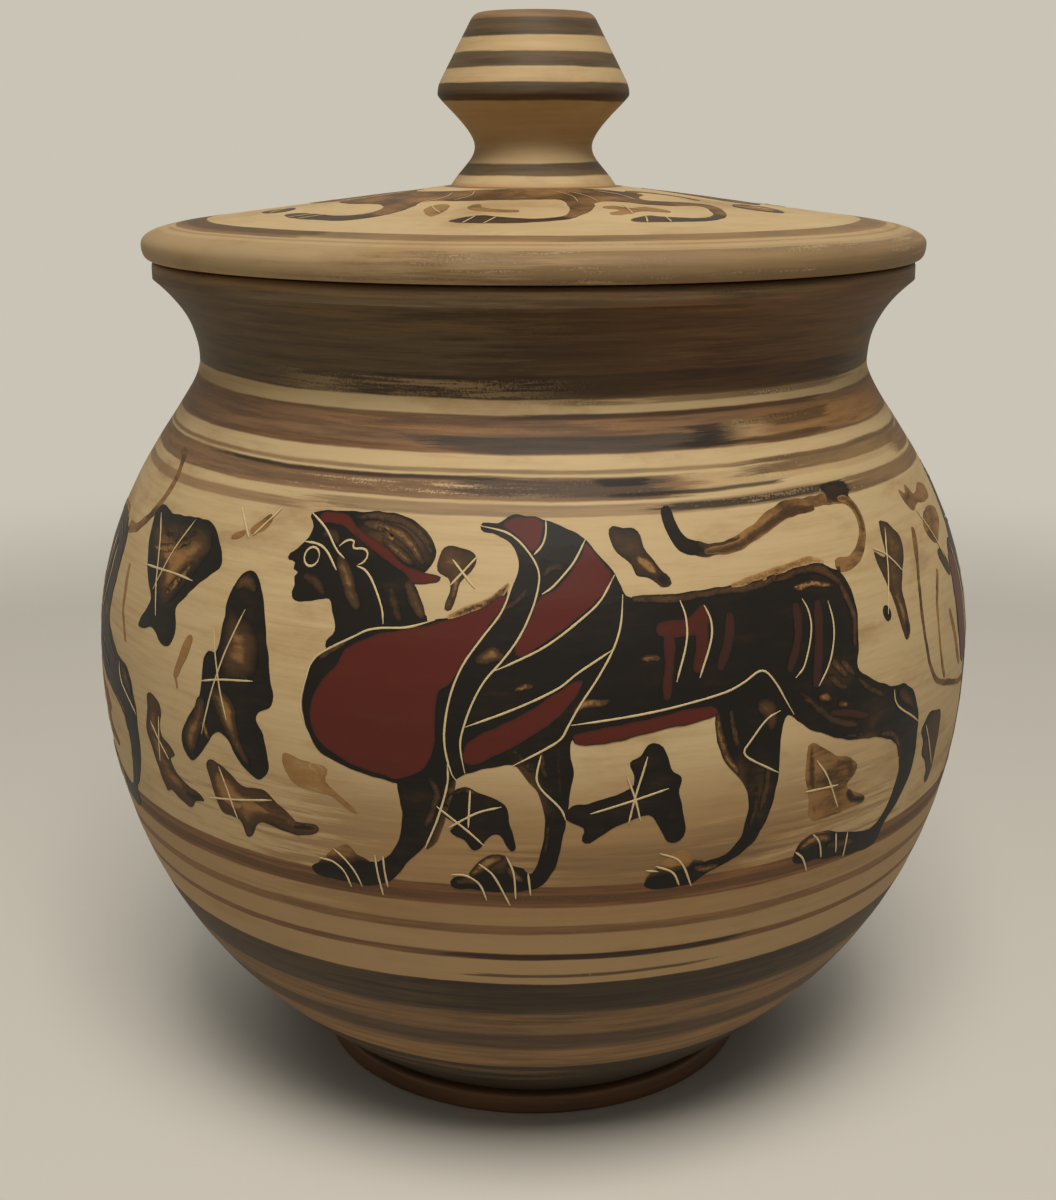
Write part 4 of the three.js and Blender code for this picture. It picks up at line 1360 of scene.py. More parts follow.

# Strokes over a figure's dark slip: thinner slip, and on the hair, wing and haunch painted highlights and
# sheen
FIGURE_MARKS_AND_SHEEN = [
    # Hair, neck and cheek; the pale patch on top of the hair is a painted highlight, and the hair's streaks
    # are partly painted highlight
    mark(0.62, 1.2, (-33, 121.3), (-28, 121.6), (-23, 120.9), (-19.5, 119), (-17.6, 117)),
    mark(0.84, 1.6, (-31, 120.4), (-26, 119.9), (-22, 118.3), (-18.8, 115.6)),
    mark(0.72, 1.3, (-27, 118.4), (-23, 116.6), (-20.5, 115.1)),
    (0.9, [(-28.4, 120.2), (-26.4, 119.8), (-24.4, 118.4), (-25.6, 118.2), (-27.6, 119.2)]),
    mark(0.7, 2.2, (-34.6, 115.4), (-32.6, 113.2), (-31.2, 110.8), (-29.6, 108.4)),
    mark(0.7, 2, (-21.4, 112.8), (-19.8, 110.2), (-18, 107.8)),
    mark(0.46, 1.6, (-24.2, 112), (-23, 109.2), (-22, 107.2)),
    mark(0.45, 1.6, (-40.6, 112.2), (-38, 111.4), (-36, 110)),
    mark(0.4, 1.4, (-38.6, 118.4), (-36.6, 118.6), (-35.2, 117.4)),
    # Breast and wing
    mark(0.6, 1, (-35.2, 100.4), (-33.2, 102.2), (-30.5, 103.6)),
    (1, [(-9.5, 102.6), (-8, 103.6), (-6.3, 104.1), (-5.4, 103.3), (-4.6, 102.4), (-6.5, 101.7),
         (-9, 101.5)]),
    (1, [(7.6, 96.3), (9.5, 96.4), (12.2, 95.9), (10.5, 95.2), (7.5, 94.7), (5.9, 94.2), (6.6, 95.3)]),
    mark(1.1, 1, (-3, 97.7), (-1.8, 98.3), (-0.3, 98.5)),
    mark(0.8, 1, (16.8, 101.8), (18.4, 102), (19.9, 101.7)),
    # A grey stroke on the wing's coverts: a painted highlight
    mark(0.52, 1.2, (1.4, 114.2), (3, 115.4), (5, 115.3)),
    mark(0.5, 0.9, (-5.2, 109.6), (-3.2, 110.5), (-1.2, 112.2)),
    mark(0.5, 0.7, (-7.6, 106.6), (-6, 108), (-4.8, 108.6)),
    # Back and rump; the grey streaks down the rump and over the haunch are painted sheen
    mark(0.66, 1.2, (16, 110.7), (22, 110.3), (30, 110.7), (38, 110.9), (44, 112)),
    mark(0.6, 1.3, (42, 111.4), (45, 111.7), (49.5, 112.1), (54, 111.2), (56.8, 108.8)),
    (1, [(46, 109.6), (49, 110.3), (52, 110.1), (55, 109), (53, 109), (50, 109.5)]),
    mark(0.6, 1.4, (56.4, 109), (57.8, 105.8), (58.2, 103), (57.4, 99.4)),
    mark(0.72, 1.5, (51.8, 97.8), (53.2, 96.2), (55, 94.6)),
    mark(0.66, 1.3, (53.8, 97.4), (55.2, 96), (56.8, 94.6)),
    mark(0.6, 1.3, (50.6, 95.6), (52.4, 94), (54.8, 92.8)),
    mark(0.5, 1.2, (57.5, 93.8), (60.5, 91.4), (64, 89.6)),
    mark(0.45, 1.2, (44.6, 93.8), (47.6, 91), (52, 87.8), (57, 86.2)),
    (0.66, [(68.4, 89.4), (70.4, 89.3), (72.2, 87.8), (73.6, 85.2), (71.4, 86), (69.2, 87.4)]),
    (0.9, [(48, 92.3), (49.5, 93), (50.6, 92.4), (51, 91.4), (49.5, 91.5)]),
    mark(1.9, 1.2, (52.4, 90.8), (53.5, 90.5), (54.6, 89.9)),
    mark(0.75, 1, (63.3, 83), (66.5, 82.2), (68.8, 80.5), (69.9, 77.5)),
    mark(0.75, 0.6, (54, 84.8), (56, 84.6), (58.4, 84.3)),
    # Hind leg
    mark(0.9, 1.3, (29, 92.6), (29.5, 89), (30.7, 85.5), (32.8, 82.3)),
    mark(0.7, 1, (31.4, 93.5), (31.8, 89.5), (32.7, 86.4)),
    (0.6, [(36.2, 93.6), (39, 93.3), (40, 91.6), (38.8, 88.6), (37.4, 90.4)]),
    mark(0.56, 1.3, (38.4, 82.8), (38.1, 79), (37.1, 75.2)),
    mark(0.46, 1, (36.2, 79.6), (36.2, 76), (35.7, 72.6)),
    # Front legs and paws
    mark(0.56, 1.1, (-16.2, 83.8), (-15.2, 81.4), (-15.6, 78.6), (-17.2, 75.4)),
    mark(0.5, 0.9, (0.9, 88.6), (1.2, 86.2), (1.6, 84.2)),
    mark(0.36, 0.6, (3.6, 89), (3.7, 85), (4, 81)),
    mark(0.62, 0.7, (-3.2, 88.5), (-1.8, 87), (-0.5, 85)),
    mark(0.55, 0.7, (2.1, 77.4), (2, 74), (1.5, 70.8)),
    mark(0.86, 1.8, (-10, 67.2), (-8.2, 69), (-6.4, 70.2), (-5, 70.4)),
    mark(0.72, 1.3, (-4.2, 68.8), (-3, 67.2), (-1.8, 66.4)),
    mark(0.7, 1.3, (-12.6, 65.8), (-10.6, 66.2), (-9, 65.6)),
    mark(0.82, 1.8, (46.4, 66.2), (48.4, 67.4), (51, 67.4), (53.4, 66.6)),
    mark(0.66, 1.5, (53, 65.4), (56, 65), (59.6, 64.2)),
    mark(0.76, 1.3, (26, 67), (28.2, 66.4), (30.4, 66.8)),
]
BACK_SMEARS = [
    mark(0.8, 1.1, (34, 111.3), (40, 112.1), (46, 113), (51, 113.3), (54, 112.6)),
    mark(0.4, 1.2, (-14, 108.1), (-9.6, 109.6), (-6.4, 111), (-4.2, 113)),
]
TAIL_MARKS = [
    mark(0.5, 1.3, (67, 115.6), (67.4, 118.4), (66, 120.6), (63.4, 121.2)),
    mark(0.42, 1.4, (56, 120.7), (49, 120.5), (42.5, 118.7), (36, 116.8), (30, 116.6)),
]

# Washed spots of thin slip; those on top of the hair and on the haunch are painted highlight and sheen
THIN_AND_SHEEN_SPOTS = [
    ThinSpot(60.5, 83.6, 4, 0.8, 0.4),
    ThinSpot(-31.8, 69.4, 2.8, 1.2, 0.2), ThinSpot(-6.4, 70.6, 2.2, 1.3, 0.8),
    ThinSpot(22.4, 69.2, 2.8, 1.4, 0.2), ThinSpot(49.6, 68, 3.4, 1.3, 0.8),
    ThinSpot(-1.6, 83.8, 2.2, 2.6, 0.45), ThinSpot(0.4, 79, 1.2, 4, 0.4),
    ThinSpot(33, 79.5, 1.4, 5, 0.4), ThinSpot(69.4, 76, 1, 5, 0.35),
    ThinSpot(-24, 111, 3, 1.2, 0.3),
    ThinSpot(-25, 119.6, 5.5, 1.5, 0.6), ThinSpot(-19.5, 117.2, 2, 2.2, 0.5),
    ThinSpot(53, 95, 3.5, 2.4, 0.28), ThinSpot(37.4, 78, 1.6, 5, 0.3),
    ThinSpot(64, 87.5, 4, 1.5, 0.25),
]

RED_CHEST = [
    (-30.6, 102.4), (-32.4, 99.4), (-35, 96.5), (-36.1, 94.3), (-36.4, 91.5), (-35.8, 89.2),
    (-34.5, 87.4), (-31.5, 85.6), (-27.6, 84.1), (-24, 83.3), (-21, 83), (-18.4, 84.1), (-16.5, 86),
    (-15.4, 88.6), (-15, 97), (-13.2, 98.5), (-11.5, 101.3), (-8.7, 105.2), (-5.6, 109.1), (-4.8, 111.4),
    (-9.2, 109.2), (-14, 107.7), (-18.4, 106.5), (-22.8, 105.7), (-25, 105.2),
]
RED_FEATHERS = [
    [(-5.6, 121.2), (-4, 122.1), (-2.5, 122.4), (1.6, 121.7), (1.6, 120.2), (1, 118.6), (-0.3, 117.4),
     (-1.4, 118.3), (-3, 119.6)],
    [(8.9, 118.6), (12, 115.4), (12.9, 113.9), (10.4, 110.6), (7.9, 108.8), (1.6, 104.7), (-3, 103),
     (-0.8, 108), (0.9, 111.3), (2.9, 112), (5.2, 113.9), (8.3, 117.4)],
    [(7.2, 99.2), (0, 95.3), (-5, 92.5), (-10.2, 89.5), (-10.6, 86.2), (-6, 87.6), (0, 91),
     (4.5, 94.5), (6.5, 97)],
]
RED_BELLY = [(6, 90.9), (12, 92), (20, 93.1), (28, 94), (29, 92.4), (20, 91),
             (14, 89.9), (8.5, 89.2), (6.2, 89.6)]
RED_RIB_BAND = [(20, 107), (25, 107.3), (28.5, 109), (28.9, 106.5), (27, 104.9), (20, 105)]
RED_RIBS = [
    ribbon([(21.7, 105.4), (21.4, 101), (20.6, 95.7)], [1.6, 1.6, 1]),
    ribbon([(27.4, 106.5), (27, 102.5), (25.9, 99.4)], [2, 2, 1.3]),
    ribbon([(32.8, 107.2), (31.5, 103), (29.8, 99.4)], [1.2, 1.5, 1]),
    ribbon([(45.6, 107.2), (45.2, 102.8), (42.6, 97.6)], [1.2, 1.5, 1]),
    ribbon([(50.4, 107.2), (49.6, 102.8), (47.8, 94.3)], [1.3, 1.8, 1.2]),
]
RED_HEADBAND = [
    (-40.2, 121.1), (-38.7, 121.5), (-35.8, 121.7), (-34.3, 121.3), (-32.1, 119.8), (-26.5, 117.6),
    (-21.3, 114.8), (-15.6, 113.7), (-16.1, 113), (-20.4, 112.6), (-22.1, 113.9), (-27.3, 116.3),
    (-33.2, 118.9), (-35.8, 120), (-40, 120),
]
RED_THIGH = ribbon([(50.8, 89.5), (54, 88.7), (57, 87.9), (59.6, 87.2)], [0.7, 1.2, 1.2, 0.6])
FIGURE_RED = [
    [(0.08, RED_CHEST)], *([(0.04, feather)] for feather in RED_FEATHERS), [(0.03, RED_BELLY)],
    [(-0.22, RED_RIB_BAND), *((-0.26, rib) for rib in RED_RIBS[:2])],
    *([(-0.38, rib)] for rib in RED_RIBS[2:]),
    [(-0.28, RED_THIGH)], [(0.02, RED_HEADBAND)],
]
RED_EDGE = -0.5


def ring(centre, half_width, half_height, steps=14):
    """A closed round line, such as an eye."""
    x, y = centre
    turns = [math.tau * i / steps for i in range(steps + 1)]
    return [(x + half_width * math.cos(turn), y + half_height * math.sin(turn)) for turn in turns]


FIGURE_SCRATCHES = [
    # Hairline, brow, eye, ear and neck
    [(-42.1, 121.1), (-40, 120.1), (-38, 118.9), (-35, 116.2), (-33.4, 115.3)],
    [(-41.9, 117), (-40.2, 117), (-38.4, 116.7), (-36.9, 115.9), (-34.5, 113.5)],
    ring((-39.85, 115), 1.5, 1.4),
    [(-34.9, 116.9), (-34.1, 117.6), (-33, 118), (-32.1, 117.7), (-32.3, 116.9), (-29.9, 116.9),
     (-29.1, 116.1), (-29.7, 115), (-30.6, 114.6)],
    [(-30.8, 114.4), (-29.1, 113.9), (-27.3, 112.2), (-25.2, 108.7), (-24.7, 106.5)],
    # Breast
    [(-37.4, 90.4), (-38.2, 93), (-37.3, 97.6), (-36.9, 99.1), (-35.8, 100.7), (-33.9, 102),
     (-29.5, 104.3), (-27.3, 105.4), (-25, 105.9), (-20.6, 106.3), (-16.1, 107.6)],
    # Wing: its two leading lines, the feathers and the trailing edge
    [(-9.6, 121), (-5.1, 120.2), (-2.9, 119.1), (-1, 117.4), (0.3, 115.7), (0.8, 113.9), (-0.1, 110.2),
     (-2.3, 105.7), (-5.1, 102), (-7.7, 99.1), (-9.7, 95.4), (-11.2, 90.8), (-11.4, 88.6), (-10.7, 84.7)],
    [(-3.4, 113.5), (-5.3, 109.1), (-8.4, 105.2), (-11.2, 101.3), (-12.9, 97.2), (-13.8, 92.4),
     (-13.8, 88.6), (-12.7, 84.3), (-12, 83.4)],
    [(2, 121.9), (2, 120.2), (1.4, 118.5), (-0.1, 117.1)],
    [(8.8, 119.1), (6.7, 116.1), (4.9, 114.3), (2.7, 112.4), (1.2, 111.6)],
    [(13.4, 114.1), (10.8, 110.6), (8.2, 108.5), (1.9, 104.3), (-4, 101.5), (-6.2, 100.6)],
    [(12.7, 103.7), (6.7, 100.2), (3.8, 98.1), (-2.9, 95), (-10.6, 92)],
    [(14.5, 111.3), (13.8, 106.9), (12.5, 103.7), (10.1, 99.8), (7.1, 95.6), (5.1, 92.2), (4.1, 90.4),
     (1.9, 88.9), (-3.3, 86.1)],
    # Belly and ribs
    [(5.6, 92.4), (17.5, 93.7), (23.7, 94.6), (31.1, 95.9), (34.1, 97), (37.4, 98.3), (39.6, 96.3),
     (41.9, 92.4), (43, 90.6)],
    [(24.1, 110), (24.8, 107.6), (24.6, 104.3), (22.4, 98.1)],
    [(28.2, 109), (29.1, 106.9), (28.9, 104.3), (26.3, 98.4)],
    [(47.2, 108), (48.1, 106.1), (48, 103.1), (45.6, 97.8), (43.7, 96.3)],
    [(52.8, 106.9), (53.1, 103.9), (52.6, 100.9), (51.1, 97.6), (48.4, 94.2)],
    # Legs
    [(40.4, 91.6), (37.8, 90.6), (34.3, 86.9), (33.6, 86), (34.3, 84.9), (38.1, 82.6), (40.2, 81.4)],
    [(67, 89.9), (67.2, 88.2), (68.5, 86.5), (73.3, 83.6), (75.6, 82.1)],
    [(-13.4, 86), (-13.4, 83), (-15, 77.1), (-17.3, 71.5)],
    [(1, 87.8), (0.3, 84.1), (1, 82.3), (4.1, 78.9), (4.8, 77.1)],
    # Claws
    [(-36, 67.1), (-33.6, 66.9), (-31.7, 65.4), (-30.7, 62.6)],
    [(-33.2, 69.3), (-31, 67.4), (-29.5, 65.2), (-28.7, 63)],
    [(-25.9, 69.3), (-25.6, 65.6), (-25.1, 61.9)],
    [(-24.5, 69.3), (-24.4, 66.4), (-24.1, 63.6)],
    [(-13.3, 67.1), (-11, 67.1), (-8.8, 65.6), (-7.7, 62.6)],
    [(-8.8, 69.3), (-6.6, 67.4), (-3.9, 61.7)],
    [(-4.4, 70.8), (-3.3, 67.8), (-3, 63)],
    [(-1, 67.8), (-0.6, 63.7)],
    [(20, 70.3), (23.5, 68.5), (26, 63.5)],
    [(19.5, 68), (22.5, 66.5), (23.8, 64)],
    [(17.9, 67.4), (20, 67)],
    [(45.6, 66), (47.4, 64.5), (49.1, 61.5)],
    [(48.9, 68.6), (50.7, 66.7), (51.9, 63.4)],
    [(54.5, 67.4), (55.5, 63.4)],
    [(57.6, 66.7), (57.8, 61.9)],
]

# Ornaments that go with each figure
FIGURE_ORNAMENTS = [
    Ornament(0.1, [
        (-14, 80), (-11.2, 82.3), (-8.4, 81.3), (-4.7, 79.7), (-3.8, 76), (-2.9, 72.3), (-3.6, 71.6),
        (-6, 74.7), (-9.2, 71.6), (-11, 73.4), (-13.3, 74.9), (-12.3, 76), (-14, 77.4)],
        [[(-15.2, 78.9), (-10.3, 74.9), (-7.9, 72.6)], [(-13.4, 75.4), (-8.8, 78.2), (-5.1, 79.3)],
         [(-9.9, 81.9), (-10.3, 75.6)]],
        [mark(0.7, 0.8, (-12.8, 81.2), (-10.6, 82), (-8.6, 81))]),
    Ornament(0.12, [
        (4.9, 77.1), (5.6, 79.3), (8.2, 79.7), (14.9, 81.9), (15.3, 84.1), (14.7, 86.1), (16.4, 87.1),
        (17.5, 88.6), (18.6, 89), (20.1, 88.2), (21.5, 84.3), (23, 83.2), (22.8, 80.4), (24.1, 74.5),
        (23.9, 72.8), (22.6, 72), (21.1, 72.4), (18.6, 76.7), (17.1, 77.1), (11.9, 75.2), (8.6, 72.8),
        (7.5, 73.4), (7.7, 75.6)],
        [[(8.6, 78), (21, 81.4)], [(17.5, 86.9), (15.6, 80.2), (14.7, 76)],
         [(14.3, 83.9), (15.6, 80.2), (16.6, 76.3)]]),
    Ornament(0.86, [
        (46.1, 84.7), (47.4, 84.9), (52.6, 81.7), (55.6, 80.8), (57.7, 78.5), (55.6, 75.6), (60.7, 72.1),
        (56.7, 71.5), (53.7, 71.1), (47.8, 71.7), (47, 76), (46.1, 78.9)],
        [[(48, 81.9), (50.4, 78.9), (53.9, 72.3)], [(45.9, 76.9), (53.3, 76.5)]],
        [mark(0.5, 1.3, (46.8, 84.3), (47, 80.6), (47.8, 76.8)),
         mark(0.66, 2, (52.6, 80.6), (55.4, 79.8), (56.2, 77.6)), mark(0.66, 1.2, (48.2, 74), (48.6, 72.2)),
         (0.04, [(55.9, 75), (58, 73.5), (60.8, 72), (57.6, 72.2), (56, 73.2)])]),
    Ornament(0.34, [
        (13.2, 120.4), (15.6, 120.6), (18.2, 120), (19, 117.8), (20.4, 115.7), (23, 112.3), (21.5, 112),
        (18.6, 113.7), (17.1, 113.9), (16.4, 115.4), (13.6, 117.8)], [],
        [mark(1, 1.6, (17.4, 116.6), (19, 115.4), (20.6, 114)),
         (0.03, [(20.3, 113.4), (21.6, 114.2), (23, 112.4), (21.6, 111.9), (20.6, 112.4)])]),
    Ornament(0.58, [
        (-16.4, 116), (-15.5, 117.8), (-13.5, 118.1), (-9.8, 116.6), (-12.3, 113), (-13.6, 109.2),
        (-14.6, 109.2), (-14, 113), (-16.4, 114.6)],
        [[(-13.9, 116.2), (-9.8, 112.3)], [(-9.8, 116.7), (-14, 112.6)]],
        [mark(0.08, 0.8, (-14.1, 110.4), (-14.1, 109.2)), mark(1, 1, (-12.6, 114), (-13.6, 111))]),
    Ornament(1.25, [
        (-41.5, 84.2), (-38, 84), (-35.5, 83.6), (-33.4, 83.2), (-33.8, 81), (-31, 78.6), (-28.6, 76.4),
        (-33, 78.6), (-38, 79.2), (-40.5, 80.4)], [],
        [mark(1.05, 1.6, (-36.6, 83.4), (-34.6, 82.4), (-35.4, 81))]),
]

# Ornaments before and behind the first figure
FIRST_ORNAMENTS = [
    Ornament(0.54, [
        (72.2, 114.3), (73.1, 116.5), (74.4, 116.3), (76.3, 115.2), (78.5, 112.4), (75.6, 108.3),
        (73.5, 105.7), (73.7, 100.9), (72.6, 97.2), (71.1, 99.4), (69.4, 106.5), (68, 112),
        (71.1, 111.1)],
        [[(74.1, 115.2), (71.7, 111.3), (67.4, 102.4)], [(68, 112.8), (71.5, 111.3), (75.2, 108.1)]],
        [mark(0.05, 1.8, (73.1, 100.4), (72.7, 98.9), (72.4, 97.6)),
         mark(0.9, 1.2, (71, 104.6), (72, 102.2), (72.2, 100))]),
    Ornament(0.06, [(66, 102.6), (66.8, 103.8), (68, 103.4), (68.3, 102), (67.2, 101.3)], []),
    Ornament(1.1, ribbon([(-91, 106), (-90.2, 102), (-89, 98), (-86, 93.6)], [0.9, 1.4, 1, 0.6]), []),
    Ornament(0.08, [
        (-87.4, 115.3), (-86.7, 116.6), (-85.2, 117.3), (-80, 116.7), (-70, 117.3), (-66.3, 117.1),
        (-63.7, 116.1), (-61.5, 114.3), (-59.6, 112.1), (-59.8, 110.8), (-64.1, 108), (-67.8, 104.5),
        (-69.1, 103), (-68.1, 99.7), (-68.7, 97.5), (-70.4, 96.4), (-72.2, 96.7), (-74.1, 98),
        (-75.9, 98.4), (-80.4, 97.5), (-81.2, 98), (-78.5, 101.6), (-77.8, 103), (-80.7, 105.6),
        (-84.4, 110.1)],
        [[(-84.6, 116), (-80.4, 111.9), (-77, 105.3), (-75, 100.6)],
         [(-70.9, 116.9), (-74.4, 111.6), (-77.8, 104.5)], [(-83.1, 107.7), (-71.5, 108.2), (-65.9, 108)]],
        [(1.1, [(-84.6, 114.4), (-80, 115.6), (-72, 116), (-65.6, 116), (-63.4, 113.4), (-65, 110.4),
                (-68.6, 106.4), (-72, 103.2), (-75.6, 103.6), (-78, 106.6), (-82.4, 110.4)]),
         mark(1.3, 1.4, (-83, 110.6), (-77, 111.4), (-70, 113.4)),
         mark(0.36, 1.6, (-80, 114), (-75, 113.6), (-69, 115)),
         mark(1.15, 2, (-73, 104.6), (-70, 107.6), (-67, 110.6))]),
    Ornament(0.08, [
        (-52.2, 111.6), (-48.5, 108.8), (-46.3, 103.4), (-44.3, 96.1), (-43.7, 92), (-46.9, 89.5),
        (-45.4, 86.7), (-44.5, 81.9), (-45.4, 79.7), (-47.3, 78.9), (-50.7, 81.2), (-54.6, 85.4),
        (-57.8, 83.1), (-61.5, 79), (-63.3, 78.8), (-65.2, 81.8), (-63, 85.9), (-59.8, 90.7),
        (-59.4, 96.7), (-58.5, 98), (-56.7, 98.2), (-55.7, 102.3), (-55.6, 107.9)],
        [[(-51.3, 105.8), (-54.4, 98.6), (-56.5, 92.9), (-59.4, 84)],
         [(-57.8, 101.9), (-55.6, 94.5), (-53.3, 87.7)], [(-59.6, 93), (-54.8, 94.1), (-47.8, 95.1)]],
        [(0.78, [(-55.2, 105.5), (-52.5, 105), (-49, 103.5), (-47, 98), (-49, 95.2), (-54, 94.8),
                 (-55.8, 98)]),
         (1.05, [(-57.5, 91.8), (-54, 92.5), (-51.5, 90.5), (-50.8, 87), (-49.6, 83.5), (-48.4, 81),
                 (-50, 81.3), (-53, 84.7), (-55.2, 88)]),
         (0.76, [(-64.2, 83.4), (-61.8, 87), (-59.4, 90.4), (-58.6, 87), (-60.4, 83), (-62.8, 80)]),
         mark(0.95, 1.2, (-59.3, 86.8), (-58.3, 84.8), (-57.6, 83.4)),
         mark(0.6, 2.2, (-54.6, 108.8), (-52.5, 110), (-50, 108.8))]),
    Ornament(0.6, [
        (-75.9, 86.8), (-74.1, 87.3), (-71.3, 85.5), (-71.9, 81), (-69.3, 79.7), (-67.8, 78.1),
        (-69.3, 76.8), (-65.9, 73.8), (-60.7, 72), (-63, 70.9), (-64.4, 69.4), (-66.3, 69.4),
        (-70.4, 70.9), (-71.9, 70.3), (-74.1, 74.4), (-76.9, 80.3), (-76.1, 84.4)],
        [[(-75.2, 82.3), (-69.8, 76.8)], [(-72, 84), (-73, 75.5)]],
        [mark(0.76, 2.4, (-74.8, 80.6), (-72.4, 76.8), (-70, 74), (-66.4, 72.2)),
         mark(0.05, 1.4, (-65.6, 71.8), (-63.4, 71.6), (-61.2, 72))]),
    Ornament(0.6, [
        (-58.3, 79.6), (-54.4, 79.2), (-50.7, 77.1), (-45.8, 77.1), (-41.7, 73.7), (-40, 72.8),
        (-35.7, 72.5), (-39.1, 70.6), (-42.4, 70.6), (-47.4, 71), (-50.4, 67.7), (-51.9, 70.5),
        (-55.9, 71), (-58.1, 75.9)],
        [[(-55.6, 79.2), (-54.1, 75.5), (-52.4, 70.5)], [(-58.9, 72.9), (-53.7, 73.8), (-44.3, 75.8)]],
        [mark(1.3, 1.5, (-55.2, 73.6), (-53, 73), (-51, 73.4)),
         mark(0.66, 2.2, (-50.8, 75.6), (-47, 75.4), (-43.4, 74), (-40.2, 72.4)),
         mark(0.06, 1.2, (-40.4, 71.8), (-38.4, 72.2), (-36.2, 72.4))]),
    Ornament(1, ribbon([(-54.8, 117.2), (-52.5, 118.4), (-51, 119.8)], [0.9, 1.8, 1.2]),
             [[(-59.3, 120.4), (-54.6, 116.2)], [(-49.3, 121.2), (-53.9, 116.7)]],
             [mark(0.8, 1, (-59, 115.8), (-57.6, 116.3), (-56, 117.1))]),
    Ornament(1.05, ribbon([(-66.9, 92), (-65.5, 95), (-64.2, 97.6), (-63.4, 99.4)], [0.9, 1.9, 2, 1.2]), [],
             [mark(0.85, 0.9, (-66.6, 91.8), (-66, 90.4))]),
]


# The bird that stands in the two other gaps, and its ornaments
BIRD_SLIP = [
    (0.12, [(98, 92), (102, 88), (112, 86), (124, 88), (134, 94), (140, 99),
            (134, 100), (126, 100), (118, 103), (110, 106), (104, 108), (100, 104), (98, 98)]),
    (0.1, [(106, 105), (110, 111), (113, 116), (118, 119.5), (124, 119), (128, 116.5),
           (124, 115.5), (119, 115), (117, 111), (116, 104)]),
    (0.3, ribbon([(106, 88), (104, 78), (100, 66), (95, 64.6)], [2.6, 1.7, 1.5, 1.8])),
    (0.26, ribbon([(116, 88), (115, 77), (112, 66), (107, 64.6)], [2.6, 1.7, 1.5, 1.8])),
    (0.72, ribbon([(85, 113.2), (81.6, 108), (79, 101), (79, 95), (80.6, 90), (84, 87),
                   (90, 85.2), (97, 83.4), (105, 82.4)], [1.4, 1, 0.9, 0.9, 0.9, 1, 1, 1, 0.8])),
    (0.9, ribbon([(90, 105.3), (86.6, 101), (85.2, 96), (85.5, 91), (87, 87)],
                 [0.9, 0.9, 0.8, 0.8, 0.8])),
    (0.8, ribbon([(92.6, 97.6), (94.6, 93), (96, 89), (98, 86.6)], [1, 1.6, 1.4, 0.8])),
]
BIRD_RED = [(0.16, [(99, 104), (102, 106), (105, 104), (106, 98), (105, 91), (102, 86),
                    (99, 88), (98, 95)])]
BIRD_SCRATCHES = [
    [(105, 107), (107, 99), (106, 90)], [(110, 105), (112, 98), (110.5, 88)],
    [(113, 101), (122, 97), (133, 96)], [(113, 97), (122, 93.5), (130, 93)],
    [(111, 110.5), (114, 110), (116.8, 108.5)], ring((118.5, 117.4), 0.9, 0.8),
]
BIRD_ORNAMENTS = [
    Ornament(0.84, [
        (86, 119.4), (88.4, 118.6), (90.4, 119.8), (93, 117.9), (99, 118.8), (103.6, 117), (98, 115.8),
        (92.6, 116.4), (88, 116)], []),
    Ornament(0.84, [
        (90.6, 112.2), (94, 114.6), (101, 114.6), (104, 112.8), (99, 110.4), (94.4, 109.2)],
        [[(90, 115.6), (93.4, 111.6), (97, 106)]]),
    Ornament(0.45, [(93.4, 107.6), (96.8, 107.4), (98.6, 104.4), (97.6, 102.8), (95, 104.4)], []),
    Ornament(0.4, [
        (77.5, 79.7), (78.5, 81), (80.5, 82.2), (83, 82), (86, 81), (86, 76), (85.5, 71), (84, 68.2),
        (82.5, 69), (82.3, 71), (80.5, 73.5), (79, 75), (78.7, 77.5)],
        [[(79, 80.5), (84.5, 71.5)]]),
    Ornament(0.3, [
        (124, 84), (129, 83), (131, 78), (128, 73), (123, 74), (121, 79)],
        [[(122, 81.5), (130, 75.5)], [(128.5, 82.5), (123, 74.5)]]),
]
BIRDS = [Figure(0, 1, 0, 0, 2), Figure(186, 1, 0, 1.2, 4)]

MOST_THIN = 1.2


def thinned(corners, thinness, figure):
    """Thinness with the washed spots of a figure worked in, and the spots of painted sheen."""
    made = []
    for (x, y), value in zip(corners, thinness):
        for spot in THIN_AND_SHEEN_SPOTS:
            (centre,) = placed([(spot.arc, spot.height)], figure)
            far = math.hypot((x - centre[0]) / spot.half_width, (y - centre[1]) / spot.half_height)
            value += spot.strength * max(0, 1.0 - far * far / 2)
        made.append(min(value, MOST_THIN))
    return made


FIGURES = [
    Figure(0, 1, 0, 0, 0),
    Figure(186, 1, 0.015, 1.6, 3),
    Figure(-156, 1, -0.01, 1.4, 5),
]


class JAR_OT_throw_jar(Operator):
    """Throws the jar and turns its foot"""
    bl_idname = "jar.throw_jar"
    bl_label = "Throw the jar"

    def execute(self, context):
        s = sizes()
        jar = turned("painted_jar", jar_section(s), finish_named("painted_jar_clay"))
        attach(jar, "jar")
        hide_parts("jar_body")
        foot = turned("red_foot", foot_section(s), finish_named("foot_slip"), relief=0.0)
        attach(foot, "jar")
        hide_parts("foot_ring")
        return {"FINISHED"}


class JAR_OT_throw_lid(Operator):
    """Throws the lid, its locating ring and its knob"""
    bl_idname = "jar.throw_lid"
    bl_label = "Throw the lid"

    def execute(self, context):
        lid = lid_sizes()
        pieces = [
            ("painted_lid", lid_section(lid), "painted_lid_clay", "lid_plate", "painted_clay", LID_RELIEF),
            ("locating_ring", ring_section(lid), "bare_clay", "lid_flange", "bare_clay", 0.0),
            ("painted_knob", knob_section(lid), "painted_knob_clay", "lid_knob", "painted_clay",
             KNOB_RELIEF),
        ]
        for name, section, finish, node, slot, relief in pieces:
            piece = turned(name, section, finish_named(finish), relief)
            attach(piece, "lid")
            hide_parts(node)
        return {"FINISHED"}


